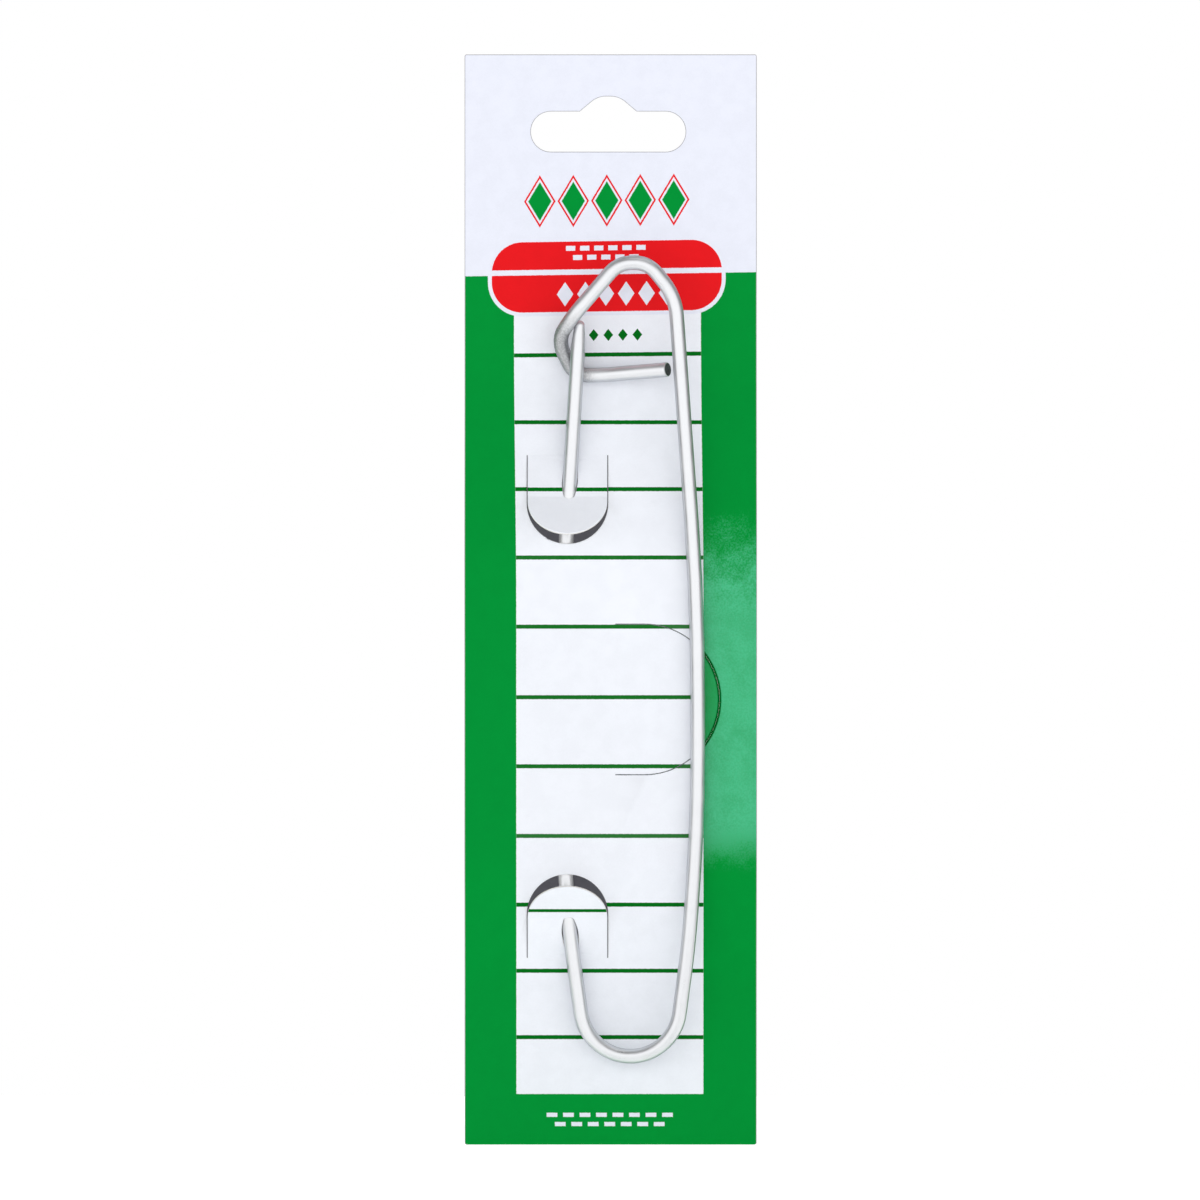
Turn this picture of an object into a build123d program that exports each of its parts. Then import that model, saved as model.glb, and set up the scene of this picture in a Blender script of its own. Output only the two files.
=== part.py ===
from build123d import *
import math
import os

# A safety-pin style stitch holder, bent from one wire and threaded on its hang card.
# The origin is the middle of the hang slot. +X points right as the printed side is read,
# +Y away from the reader and +Z up. A "drop" is a distance below the origin and a "depth"
# a distance in front of the header of the card, both in millimetres.

# Wire
WIRE_DIAMETER = 3.0
BEND_RADIUS = 10.4
CROWN_HEIGHT = 153.0
PIN_TIP_TAPER = 6.2
PIN_TIP_RADIUS = 1.1
TAIL_CHAMFER = 0.2

# Corners of the wire's outline, measured across from the middle of the spring bend
PIN_FOOT_OFFSET = 13.1
PIN_BOW_OFFSET = 15.2
PIN_TIP_OFFSET = 10.5
SPINE_FOOT_OFFSET = 12.3
SPINE_BOW_OFFSET = 14.1
SHOULDER_OFFSET = 9.4
CROWN_RIGHT_OFFSET = 3.8
CROWN_LEFT_OFFSET = 2.2
TAIL_END_OFFSET = 7.8
TAIL_KINK_OFFSET = 6.5

# Heights above the middle of the spring bend, as shares of the crown's height
PIN_TIP_SHARE = 0.9222
PIN_FOOT_SHARE = 0.120
PIN_BOW_SHARE = 0.432
SPINE_FOOT_SHARE = 0.088
SPINE_LOW_SHARE = 0.257
SPINE_TOP_SHARE = 0.535
SPINE_END_SHARE = 0.800
SHOULDER_SHARE = 0.955
LEG_SHARE = 0.9275
WRAP_SHARE = 0.8955
TAIL_SHARE = 0.8485
TAIL_END_SHARE = 0.8565
UPPER_ROOT_SHARE = 0.7412
FLAP_MIDDLE_SHARE = 0.4124
LOWER_ROOT_SHARE = 0.0641

# Catch: how far the wire passes in front of the pin, beside it and behind it
CATCH_GAP = 0.3
LEG_LIFT = 2.75
LEG_OUT = 0.85
CROWN_LIFT = 1.2
WRAP_CORNER_OUT = 1.25
WRAP_CORNER_BACK = 0.8
TAIL_START_OUT = 0.9
TAIL_RISE = 3.85

# Card
CARD_WIDTH = 60.2
CROWN_DROP = 27.1
FOOT_MARGIN = 16.8
CARD_THICKNESS = 0.45
CARD_SIDE_SHIFT = 0.5
SLOT_DROP_FROM_TOP = 15.9
SLOT_LENGTH = 31.9
SLOT_HEIGHT = 8.3
SLOT_BUMP_WIDTH = 11.7
SLOT_BUMP_RISE = 3.1
SLOT_BUMP_FLANK = 40.0
SLOT_BUMP_ROUND = 4.6
HEADER_BOW_RADIUS = 50.0
CREST_BOW_RADIUS = 28.0
FOOT_BOW_RADIUS = 24.0
SLIT = 0.2

# Tongues that carry the pin, each a flap with a half-round free end
TONGUE_LEFT = 8.4
TONGUE_RADIUS = 8.4
UPPER_SLIT_LENGTH = 9.9
UPPER_FOLD = 8.65
UPPER_HOLE_END = 1.25
UPPER_TIP_ANGLE = 35.0
LOWER_SLIT_LENGTH = 8.9
LOWER_FOLD = 8.25
LOWER_HOLE_END = 0.95
LOWER_TIP_ANGLE = 39.5
TONGUE_FOLD_RADIUS = 1.0

# Side flap behind the spine
FLAP_HINGE_RIGHT = 1.4
FLAP_RADIUS = 15.5
FLAP_NECK = 6.0

# Where the holder hangs on the card, and its clearances
BEND_RIGHT = 4.5
PASS_CLEARANCE = 0.2
ROOT_MARGIN = 0.15
CUT_MARGIN = 0.10
CREST_MARGIN = 0.35
SPINE_GAP = 0.40
TAIL_GAP = 0.6
FOOT_RISE = 0.8

# Travel of the holder along its pin: down and up
SLIDE_DOWN = 2.0
SLIDE_UP = 1.5

# Overrun of every cut, and the share of a run that a corner's arc takes up
OVERRUN = 1.0
ARC_SHARE = 0.45

WIRE_RADIUS = WIRE_DIAMETER / 2
HALF_CARD = CARD_THICKNESS / 2
# Middle of the card to middle of the wire where one passes the other
PASS = WIRE_RADIUS + PASS_CLEARANCE + HALF_CARD
# Middle of the pin to middle of the wire where the catch goes round it
WRAP = WIRE_DIAMETER + CATCH_GAP

# The holder's length places everything that is below the crown
bend_drop = CROWN_DROP + CROWN_HEIGHT
upper_root_drop = bend_drop - CROWN_HEIGHT * UPPER_ROOT_SHARE
flap_drop = bend_drop - CROWN_HEIGHT * FLAP_MIDDLE_SHARE
lower_root_drop = bend_drop - CROWN_HEIGHT * LOWER_ROOT_SHARE
card_foot_drop = bend_drop + BEND_RADIUS + WIRE_RADIUS + FOOT_MARGIN


def smooth_path(points):
    """Straight runs joined by tangent arcs, each as large as its two runs allow."""
    radii = []
    for before, corner, after in zip(points, points[1:], points[2:]):
        run_in = corner - before
        run_out = after - corner
        reach = ARC_SHARE * min(run_in.length, run_out.length)
        radii.append(reach / math.tan(math.radians(run_in.get_angle(run_out)) / 2))
    return FilletPolyline(*points, radius=radii)


def rod(path, radius):
    """Round wire of one radius along a path."""
    start = Plane(origin=path @ 0, z_dir=path % 0)
    return sweep(start * Circle(radius), path=path)


def between(low, high, height):
    """Point at a height on the straight run between two points of the wire's outline."""
    return low + (high - low) * ((height - low.Z) / (high.Z - low.Z))


# Outline of the wire in its own plane: X across, -Y towards the reader, Z up,
# from the middle of the spring bend

def outline_point(across, share, lift=0.0):
    """Corner of the wire's outline at a share of the crown's height."""
    return Vector(across, -lift, CROWN_HEIGHT * share)


def bend_tangent(corner):
    """Where a straight leg from a corner of the outline runs into the spring bend."""
    reach = math.hypot(corner.X, corner.Z)
    side = math.copysign(1, corner.X)
    angle = math.atan2(corner.Z, corner.X * side) - math.acos(BEND_RADIUS / reach)
    return Vector(side * BEND_RADIUS * math.cos(angle), 0, BEND_RADIUS * math.sin(angle))


pin_foot = outline_point(-PIN_FOOT_OFFSET, PIN_FOOT_SHARE)
pin_bow = outline_point(-PIN_BOW_OFFSET, PIN_BOW_SHARE)
pin_apex = outline_point(-PIN_TIP_OFFSET, PIN_TIP_SHARE)
pin_end = bend_tangent(pin_foot)
tip_direction = (pin_apex - pin_bow).normalized()
tip_base = pin_apex - tip_direction * (PIN_TIP_TAPER + PIN_TIP_RADIUS)

spine_foot = outline_point(SPINE_FOOT_OFFSET, SPINE_FOOT_SHARE)
spine_low = outline_point(SPINE_BOW_OFFSET, SPINE_LOW_SHARE)
spine_top = outline_point(SPINE_BOW_OFFSET, SPINE_TOP_SHARE)
shoulder = outline_point(SHOULDER_OFFSET, SHOULDER_SHARE)
spine_start = bend_tangent(spine_foot)
spine_end = between(spine_top, shoulder, CROWN_HEIGHT * SPINE_END_SHARE)


def pin_across(height):
    """Place of the pin across the holder at a height above the spring bend."""
    if height < pin_foot.Z:
        return between(pin_end, pin_foot, height).X
    if height < pin_bow.Z:
        return between(pin_foot, pin_bow, height).X
    return between(pin_bow, pin_apex, height).X


# Depths: the holder leans a little and turns about its pin, so that the pin passes behind
# the bowed middle of the card while the spine stays in front of it

upper_cut_drop = upper_root_drop + UPPER_SLIT_LENGTH + TONGUE_RADIUS
lower_cut_drop = lower_root_drop - LOWER_SLIT_LENGTH - TONGUE_RADIUS
tail_height = CROWN_HEIGHT * TAIL_SHARE
root_height = bend_drop - lower_root_drop
cut_height = bend_drop - upper_cut_drop

spine_stand_off = PASS + CREST_MARGIN + HALF_CARD + SPINE_GAP + WIRE_RADIUS
holder_turn = math.asin(spine_stand_off / (SPINE_BOW_OFFSET - pin_across(cut_height)))

pin_depth_at_root = PASS + ROOT_MARGIN + FOOT_RISE
pin_depth_at_tail = HALF_CARD + TAIL_GAP + WIRE_RADIUS + WRAP
turn_share = math.sin(holder_turn)
lean_rise = pin_depth_at_tail - pin_depth_at_root
lean_rise -= turn_share * (pin_across(tail_height) - pin_across(root_height))
lean_slope = lean_rise / (tail_height - root_height)
bend_depth = pin_depth_at_root - turn_share * pin_across(root_height) - lean_slope * root_height


def pin_depth(drop):
    """Depth of the middle of the pin at a drop below the hang slot."""
    height = bend_drop - drop
    return bend_depth + turn_share * pin_across(height) + lean_slope * height


holder_place = (
    Pos(BEND_RIGHT, -bend_depth, -bend_drop)
    * Rot(X=math.degrees(math.asin(lean_slope)))
    * Rot(Z=-math.degrees(holder_turn))
)


def pin_arm():
    """The long pin that the stitches slide on, down to the start of the spring bend."""
    body = rod(smooth_path([pin_end, pin_foot, pin_bow, tip_base]), WIRE_RADIUS)
    seat = Plane(origin=tip_base, z_dir=tip_direction)
    taper = seat * Cone(
        WIRE_RADIUS, PIN_TIP_RADIUS, PIN_TIP_TAPER, align=(Align.CENTER, Align.CENTER, Align.MIN)
    )
    nose = Pos(tip_base + tip_direction * PIN_TIP_TAPER) * Sphere(PIN_TIP_RADIUS)
    return holder_place * (body + taper + nose)


def pin_passage(travel):
    """Room for the pin, with its clearance, when the holder has slid by a travel."""
    path = smooth_path([pin_end, pin_foot, pin_bow, tip_base])
    return holder_place * Pos(0, 0, travel) * rod(path, WIRE_RADIUS + PASS_CLEARANCE)


def spring_bend():
    """The half-round bend that springs the pin against the catch."""
    lowest = Vector(0, 0, -BEND_RADIUS)
    return holder_place * rod(ThreePointArc(pin_end, lowest, spine_start), WIRE_RADIUS)


def spine():
    """The plain leg on the right, from the spring bend up to the catch."""
    points = [spine_start, spine_foot, spine_low, spine_top, spine_end]
    return holder_place * rod(smooth_path(points), WIRE_RADIUS)


def catch_hook():
    """Crown, the leg in front of the pin's tip, the turn round the pin and the tail."""
    beside_pin = pin_across(CROWN_HEIGHT * WRAP_SHARE)
    behind_pin = pin_across(tail_height) - TAIL_START_OUT
    # the tail runs level behind the pin, then rises towards its end
    turn_fall = math.tan(holder_turn)
    kink_lift = (TAIL_KINK_OFFSET + behind_pin) * turn_fall - WRAP
    end_lift = kink_lift + TAIL_RISE / math.cos(holder_turn)
    end_lift -= (TAIL_END_OFFSET + TAIL_KINK_OFFSET) * turn_fall
    points = [
        spine_end,
        shoulder,
        outline_point(CROWN_RIGHT_OFFSET, 1, CROWN_LIFT / 3),
        outline_point(-CROWN_LEFT_OFFSET, 1, CROWN_LIFT),
        outline_point(beside_pin - LEG_OUT, LEG_SHARE, LEG_LIFT),
        outline_point(beside_pin - WRAP - WRAP_CORNER_OUT, WRAP_SHARE, -WRAP_CORNER_BACK),
        outline_point(behind_pin, TAIL_SHARE, -WRAP),
        outline_point(-TAIL_KINK_OFFSET, TAIL_SHARE, kink_lift),
        outline_point(TAIL_END_OFFSET, TAIL_END_SHARE, end_lift),
    ]
    path = smooth_path(points)
    hook = rod(path, WIRE_RADIUS)
    end_face = hook.faces().sort_by_distance(path @ 1)[0]
    return holder_place * chamfer(end_face.edges(), TAIL_CHAMFER)


# Bow of the card: two ramps through the roots and free ends of the tongues, a crest
# between them that clears the pin, and a flat header and foot

def front(across, depth, drop):
    """Point at a place across, a depth and a drop."""
    return Vector(across, -depth, -drop)


def meet(drop_a, depth_a, slope_a, drop_b, depth_b, slope_b):
    """Drop and depth at which two straight stretches of the card's profile meet."""
    drop = (depth_b - depth_a + slope_a * drop_a - slope_b * drop_b) / (slope_a - slope_b)
    return drop, depth_a + slope_a * (drop - drop_a)


upper_root_depth = pin_depth(upper_root_drop) - PASS - ROOT_MARGIN
upper_cut_depth = pin_depth(upper_cut_drop) + PASS + CUT_MARGIN
upper_slope = (upper_cut_depth - upper_root_depth) / (upper_cut_drop - upper_root_drop)
lower_root_depth = pin_depth(lower_root_drop) - PASS - ROOT_MARGIN
lower_cut_depth = pin_depth(lower_cut_drop) + PASS + CUT_MARGIN
lower_slope = (lower_root_depth - lower_cut_depth) / (lower_root_drop - lower_cut_drop)
crest_top_depth = pin_depth(upper_cut_drop) + PASS + CREST_MARGIN
crest_low_depth = pin_depth(lower_cut_drop) + PASS + CREST_MARGIN
crest_slope = (crest_low_depth - crest_top_depth) / (lower_cut_drop - upper_cut_drop)

upper_ramp = (upper_root_drop, upper_root_depth, upper_slope)
lower_ramp = (lower_root_drop, lower_root_depth, lower_slope)
crest = (upper_cut_drop, crest_top_depth, crest_slope)
flat = (0, 0, 0)


def card_sheet():
    """The whole bowed sheet of the card before anything is cut in it."""
    top = front(CARD_SIDE_SHIFT, 0, -SLOT_DROP_FROM_TOP)
    bottom = front(CARD_SIDE_SHIFT, 0, card_foot_drop)
    corners = [
        meet(*flat, *upper_ramp),
        meet(*upper_ramp, *crest),
        meet(*crest, *lower_ramp),
        meet(*lower_ramp, *flat),
    ]
    points = [top] + [front(CARD_SIDE_SHIFT, depth, drop) for drop, depth in corners] + [bottom]
    bows = [HEADER_BOW_RADIUS, CREST_BOW_RADIUS, CREST_BOW_RADIUS, FOOT_BOW_RADIUS]
    profile = FilletPolyline(*points, radius=bows)
    section = Plane(origin=profile @ 0, x_dir=(1, 0, 0), z_dir=profile % 0)
    return sweep(section * Rectangle(CARD_WIDTH, CARD_THICKNESS), path=profile)


def through(outline, across, drop):
    """Cutter through the card, of an outline drawn as the printed side is read."""
    reach = bend_depth + TONGUE_RADIUS + CARD_WIDTH
    drawing = Plane(origin=front(across, 0, drop), x_dir=(1, 0, 0), z_dir=(0, -1, 0))
    return extrude(drawing * outline, reach, both=True)


def hang_slot():
    """Round-ended slot with a raised middle, for a shop's hanger prong."""
    bump = Trapezoid(
        SLOT_BUMP_WIDTH, SLOT_BUMP_RISE, SLOT_BUMP_FLANK, align=(Align.CENTER, Align.MIN)
    )
    bump = fillet(bump.vertices().group_by(Axis.Y)[-1], SLOT_BUMP_ROUND)
    neck = Rectangle(SLOT_BUMP_WIDTH, SLOT_HEIGHT / 2, align=(Align.CENTER, Align.MIN))
    return SlotOverall(SLOT_LENGTH, SLOT_HEIGHT) + neck + Pos(0, SLOT_HEIGHT / 2) * bump


def tongue_outline(slit_length, radius):
    """Flap outline, hanging from its root at the origin: straight slits, half-round end."""
    neck = Rectangle(2 * radius, slit_length, align=(Align.CENTER, Align.MAX))
    return neck + Pos(0, -slit_length) * Circle(radius)


def flap_outline(radius):
    """D shape of the side flap, with its hinge line at the origin."""
    neck = Rectangle(FLAP_NECK, 2 * radius, align=(Align.MIN, Align.CENTER))
    return neck + (Pos(FLAP_NECK, 0) * Circle(radius) & Rectangle(
        2 * FLAP_NECK + 2 * radius, 2 * radius, align=(Align.MIN, Align.CENTER)
    ))


def display_card(sheet):
    """The bowed card with its slot and the cuts of its three flaps."""
    card = sheet - through(hang_slot(), 0, 0)
    card -= through(tongue_outline(UPPER_SLIT_LENGTH, TONGUE_RADIUS), -TONGUE_LEFT, upper_root_drop)
    card -= through(
        Rot(Z=180) * tongue_outline(LOWER_SLIT_LENGTH, TONGUE_RADIUS), -TONGUE_LEFT, lower_root_drop
    )
    return card - through(flap_outline(FLAP_RADIUS), FLAP_HINGE_RIGHT, flap_drop)


def side_flap(sheet):
    """The flap beside the pin, flush with the card."""
    return sheet & through(flap_outline(FLAP_RADIUS - SLIT), FLAP_HINGE_RIGHT, flap_drop)


def tongue(root_drop, root_depth, heading, slit_length, fold, hole_end, tip_angle):
    """Tongue from its root to its raised end; heading is 1 downwards and -1 upwards."""
    hole_depth = pin_depth(root_drop + heading * (fold + hole_end))
    slope = math.tan(math.radians(tip_angle))
    fold_depth = hole_depth + PASS - slope * hole_end
    root_point = front(-TONGUE_LEFT, root_depth, root_drop)
    fold_point = front(-TONGUE_LEFT, fold_depth, root_drop + heading * fold)
    blade_direction = front(0, slope, heading).normalized()
    root_direction = (fold_point - root_point).normalized()
    length = slit_length + TONGUE_RADIUS - SLIT
    blade = length - (fold_point - root_point).length
    tip_point = fold_point + blade_direction * blade
    start = root_point - root_direction * OVERRUN
    path = FilletPolyline(start, fold_point, tip_point, radius=TONGUE_FOLD_RADIUS)
    width = 2 * (TONGUE_RADIUS - SLIT)
    section = Plane(origin=start, x_dir=(1, 0, 0), z_dir=root_direction)
    strip = sweep(section * Rectangle(width, CARD_THICKNESS), path=path)
    # half-round end, cut square to the raised blade
    face = Plane(
        origin=tip_point - blade_direction * (width / 2),
        x_dir=(1, 0, 0),
        z_dir=Vector(1, 0, 0).cross(blade_direction),
    )
    keep = Circle(width / 2) + Rectangle(width, length + width, align=(Align.CENTER, Align.MAX))
    strip &= extrude(face * keep, length, both=True)
    beyond_root = Box(width + OVERRUN, length, 2 * OVERRUN)
    strip -= Pos(root_point) * Pos(0, 0, heading * OVERRUN) * beyond_root
    for travel in (-SLIDE_DOWN, 0, SLIDE_UP):
        strip -= pin_passage(travel)
    return strip


def main():
    """Build every sub-part and write it to its own file."""
    os.makedirs("parts", exist_ok=True)
    sheet = card_sheet()
    nodes = {
        "display_card": display_card(sheet),
        "side_flap": side_flap(sheet),
        "upper_tongue": tongue(
            upper_root_drop, upper_root_depth, 1, UPPER_SLIT_LENGTH, UPPER_FOLD,
            UPPER_HOLE_END, UPPER_TIP_ANGLE,
        ),
        "lower_tongue": tongue(
            lower_root_drop, lower_root_depth, -1, LOWER_SLIT_LENGTH, LOWER_FOLD,
            LOWER_HOLE_END, LOWER_TIP_ANGLE,
        ),
        "pin_arm": pin_arm(),
        "spring_bend": spring_bend(),
        "spine": spine(),
        "catch_hook": catch_hook(),
    }
    for name, shape in nodes.items():
        export_step(shape, f"parts/{name}.step")
    return nodes


parts = main()
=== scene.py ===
"""A wire stitch holder threaded on its printed hang card.

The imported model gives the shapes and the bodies. This script dresses them: the wire is fed
out again as one smooth rod, bent round the same corners, and the board is cut out flat with
its print on it and then bowed to the same profile. Sizes are in millimetres until a finished
mesh is turned to metres, in the model's own frame.
"""

import logging
import math
from collections.abc import Sequence
from dataclasses import dataclass
from enum import Enum

import bmesh
import bpy
from bmesh.types import BMEdge, BMesh, BMFace, BMVert
from bpy.types import Material, Mesh, Node, NodeSocket, NodeTree, Object, World
from mathutils import Matrix, Vector

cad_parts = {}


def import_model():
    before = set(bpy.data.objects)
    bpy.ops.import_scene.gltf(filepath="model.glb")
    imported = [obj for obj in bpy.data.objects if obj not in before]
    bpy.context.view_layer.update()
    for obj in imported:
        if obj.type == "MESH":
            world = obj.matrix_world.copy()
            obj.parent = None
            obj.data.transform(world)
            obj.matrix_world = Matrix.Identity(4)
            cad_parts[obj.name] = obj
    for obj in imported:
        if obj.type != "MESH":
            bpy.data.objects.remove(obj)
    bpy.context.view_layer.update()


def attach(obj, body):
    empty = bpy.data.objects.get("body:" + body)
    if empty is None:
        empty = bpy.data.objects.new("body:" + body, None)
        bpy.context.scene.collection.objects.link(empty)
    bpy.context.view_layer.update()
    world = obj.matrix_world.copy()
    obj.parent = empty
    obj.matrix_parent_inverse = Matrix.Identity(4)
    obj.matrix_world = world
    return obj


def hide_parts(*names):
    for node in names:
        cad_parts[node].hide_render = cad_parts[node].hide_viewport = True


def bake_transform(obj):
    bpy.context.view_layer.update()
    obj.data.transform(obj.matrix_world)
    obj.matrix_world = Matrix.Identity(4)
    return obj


log = logging.getLogger("stitch_holder")

MM = 0.001
PRINT_MAP = "print"
WIRE_SPACE = "wire_space"
SHARP_ANGLE = math.radians(30)
INK_EDGE = 0.05

Colour = tuple[float, float, float]
Source = float | tuple | NodeSocket


class Body(Enum):
    """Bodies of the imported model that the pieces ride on."""

    CARD = "card"
    FLAP = "flap"
    PIN = "pin"
    FRAME = "frame"


class Stock(Enum):
    """Material slots of the record; no piece here takes its finish from them."""

    WIRE = "wire"
    BOARD = "board"


class BoardFace(Enum):
    """Which finish a face of the board shows."""

    PRINTED = 0
    BACK = 1
    CORE = 2
    RIM = 3


class WireFace(Enum):
    """Which finish a face of the wire shows."""

    DRAWN = 0
    SHEARED = 1


def ink(red: int, green: int, blue: int) -> Colour:
    """Turns a colour as a screen shows it into the linear colour of a shader.

    Args:
        red: Red, from 0 to 255.
        green: Green, from 0 to 255.
        blue: Blue, from 0 to 255.

    Returns:
        The linear colour.
    """
    shares = (channel / 255 for channel in (red, green, blue))
    return tuple(
        share / 12.92 if share <= 0.04045 else ((share + 0.055) / 1.055) ** 2.4
        for share in shares
    )


def new_object(name: str, mesh: Mesh, finishes: list[Material]) -> Object:
    """Puts a finished mesh in the scene, at the origin.

    Args:
        name: Name of the piece.
        mesh: Its mesh, in metres and in place.
        finishes: Its materials, in slot order.

    Returns:
        The new object.
    """
    for finish in finishes:
        mesh.materials.append(finish)
    piece = bpy.data.objects.new(name, mesh)
    bpy.context.scene.collection.objects.link(piece)
    return piece


def new_mesh(name: str, shape: BMesh) -> Mesh:
    """Writes a shape to a new mesh and frees it.

    Args:
        name: Name of the mesh.
        shape: The shape.

    Returns:
        The mesh.
    """
    mesh = bpy.data.meshes.new(name)
    shape.to_mesh(mesh)
    shape.free()
    return mesh


def soften(shape: BMesh) -> None:
    """Shades a shape smooth, but for its sharp edges.

    Args:
        shape: The shape.
    """
    for face in shape.faces:
        face.smooth = True
    for edge in shape.edges:
        edge.smooth = edge.calc_face_angle(0.0) < SHARP_ANGLE


class Graph:
    """Adds nodes to one node tree and links them."""

    def __init__(self, tree: NodeTree) -> None:
        """Keeps the tree of a material, a world or a node group."""
        self.tree = tree

    def add(self, kind: str, **settings: object) -> Node:
        """Adds a shader node.

        Args:
            kind: The node's type, without the words in front that all shader nodes share.
            **settings: Properties of the node.

        Returns:
            The node.
        """
        node = self.tree.nodes.new(f"ShaderNode{kind}")
        for name, value in settings.items():
            setattr(node, name, value)
        return node

    def feed(self, socket: NodeSocket, source: Source) -> None:
        """Links a socket to another, or sets its value.

        Args:
            socket: The input.
            source: An output, or a plain value.
        """
        if isinstance(source, NodeSocket):
            self.tree.links.new(source, socket)
        else:
            socket.default_value = source

    def show(self, surface: NodeSocket, kind: str = "OutputMaterial") -> None:
        """Links a shader to the output of the tree."""
        self.feed(self.add(kind).inputs["Surface"], surface)

    def split(self, vector: NodeSocket) -> tuple[NodeSocket, NodeSocket, NodeSocket]:
        """Splits a vector.

        Args:
            vector: The vector.

        Returns:
            Its X, Y and Z.
        """
        node = self.add("SeparateXYZ")
        self.feed(node.inputs[0], vector)
        return tuple(node.outputs)

    def stretch(self, vector: NodeSocket, scale: tuple[float, float, float]) -> NodeSocket:
        """Scales coordinates, so that a pattern on them is drawn out or pressed together.

        Args:
            vector: The coordinates.
            scale: Factor along each axis.

        Returns:
            The scaled coordinates.
        """
        node = self.add("Mapping")
        self.feed(node.inputs["Vector"], vector)
        node.inputs["Scale"].default_value = scale
        return node.outputs[0]

    def math(self, operation: str, *terms: Source) -> NodeSocket:
        """One step of arithmetic.

        Args:
            operation: Name of the operation.
            *terms: Its terms, in order.

        Returns:
            The result.
        """
        node = self.add("Math", operation=operation)
        for socket, term in zip(node.inputs, terms):
            self.feed(socket, term)
        return node.outputs[0]

    def times(self, first: Source, *factors: Source) -> Source:
        """Multiplies values.

        Args:
            first: The first of them.
            *factors: The others.

        Returns:
            Their product.
        """
        for factor in factors:
            first = self.math("MULTIPLY", first, factor)
        return first

    def away(self, value: Source, middle: float) -> NodeSocket:
        """Distance of a value from a middle."""
        return self.math("ABSOLUTE", self.math("SUBTRACT", value, middle))

    def blend(self, first: Source, share: float, second: Source) -> NodeSocket:
        """A share of one value, and the rest of another."""
        return self.math("MULTIPLY_ADD", first, share, self.math("MULTIPLY", second, 1.0 - share))

    def ramp(
        self, value: Source, low: float, high: float, bottom: float = 0.0, top: float = 1.0
    ) -> NodeSocket:
        """Maps a range smoothly on another.

        Args:
            value: What is mapped.
            low: Value that gives bottom.
            high: Value that gives top.
            bottom: Result at low and below.
            top: Result at high and above.

        Returns:
            The mapped value.
        """
        node = self.add("MapRange", interpolation_type="SMOOTHSTEP")
        for socket, term in zip(node.inputs, (value, low, high, bottom, top)):
            self.feed(socket, term)
        return node.outputs[0]

    def over(self, value: Source, limit: float, soft: float = INK_EDGE) -> NodeSocket:
        """Mask of where a value is over a limit, with a soft edge."""
        return self.ramp(value, limit - soft, limit + soft)

    def under(self, value: Source, limit: float, soft: float = INK_EDGE) -> NodeSocket:
        """Mask of where a value is under a limit, with a soft edge."""
        return self.ramp(value, limit - soft, limit + soft, 1.0, 0.0)

    def inside(self, value: Source, low: float, high: float) -> NodeSocket:
        """Mask of where a value is between two limits, with soft edges."""
        return self.times(self.over(value, low), self.under(value, high))

    def mix(self, mask: Source, low: Source, high: Source) -> NodeSocket:
        """Mixes two colours by a mask.

        Args:
            mask: 0 gives low and 1 gives high.
            low: First colour.
            high: Second colour.

        Returns:
            The mixed colour.
        """
        node = self.add("Mix", data_type="RGBA")
        self.feed(node.inputs[0], mask)
        for socket, colour in ((node.inputs[6], low), (node.inputs[7], high)):
            self.feed(socket, (*colour, 1.0) if isinstance(colour, tuple) else colour)
        return node.outputs[2]

    def shade(self, colour: Source, share: Source) -> NodeSocket:
        """Multiplies a colour by a share.

        Args:
            colour: The colour.
            share: What it is multiplied by.

        Returns:
            The lighter or darker colour.
        """
        node = self.add("VectorMath", operation="SCALE")
        self.feed(node.inputs[0], colour)
        self.feed(node.inputs["Scale"], share)
        return node.outputs[0]

    def bump(self, height: NodeSocket, strength: float, distance: float) -> NodeSocket:
        """Turns a height into a normal.

        Args:
            height: Height, from 0 to 1.
            strength: Share of the effect.
            distance: Height of 1, in metres.

        Returns:
            The bumped normal.
        """
        node = self.add("Bump")
        node.inputs["Strength"].default_value = strength
        node.inputs["Distance"].default_value = distance
        self.feed(node.inputs["Height"], height)
        return node.outputs["Normal"]


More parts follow.
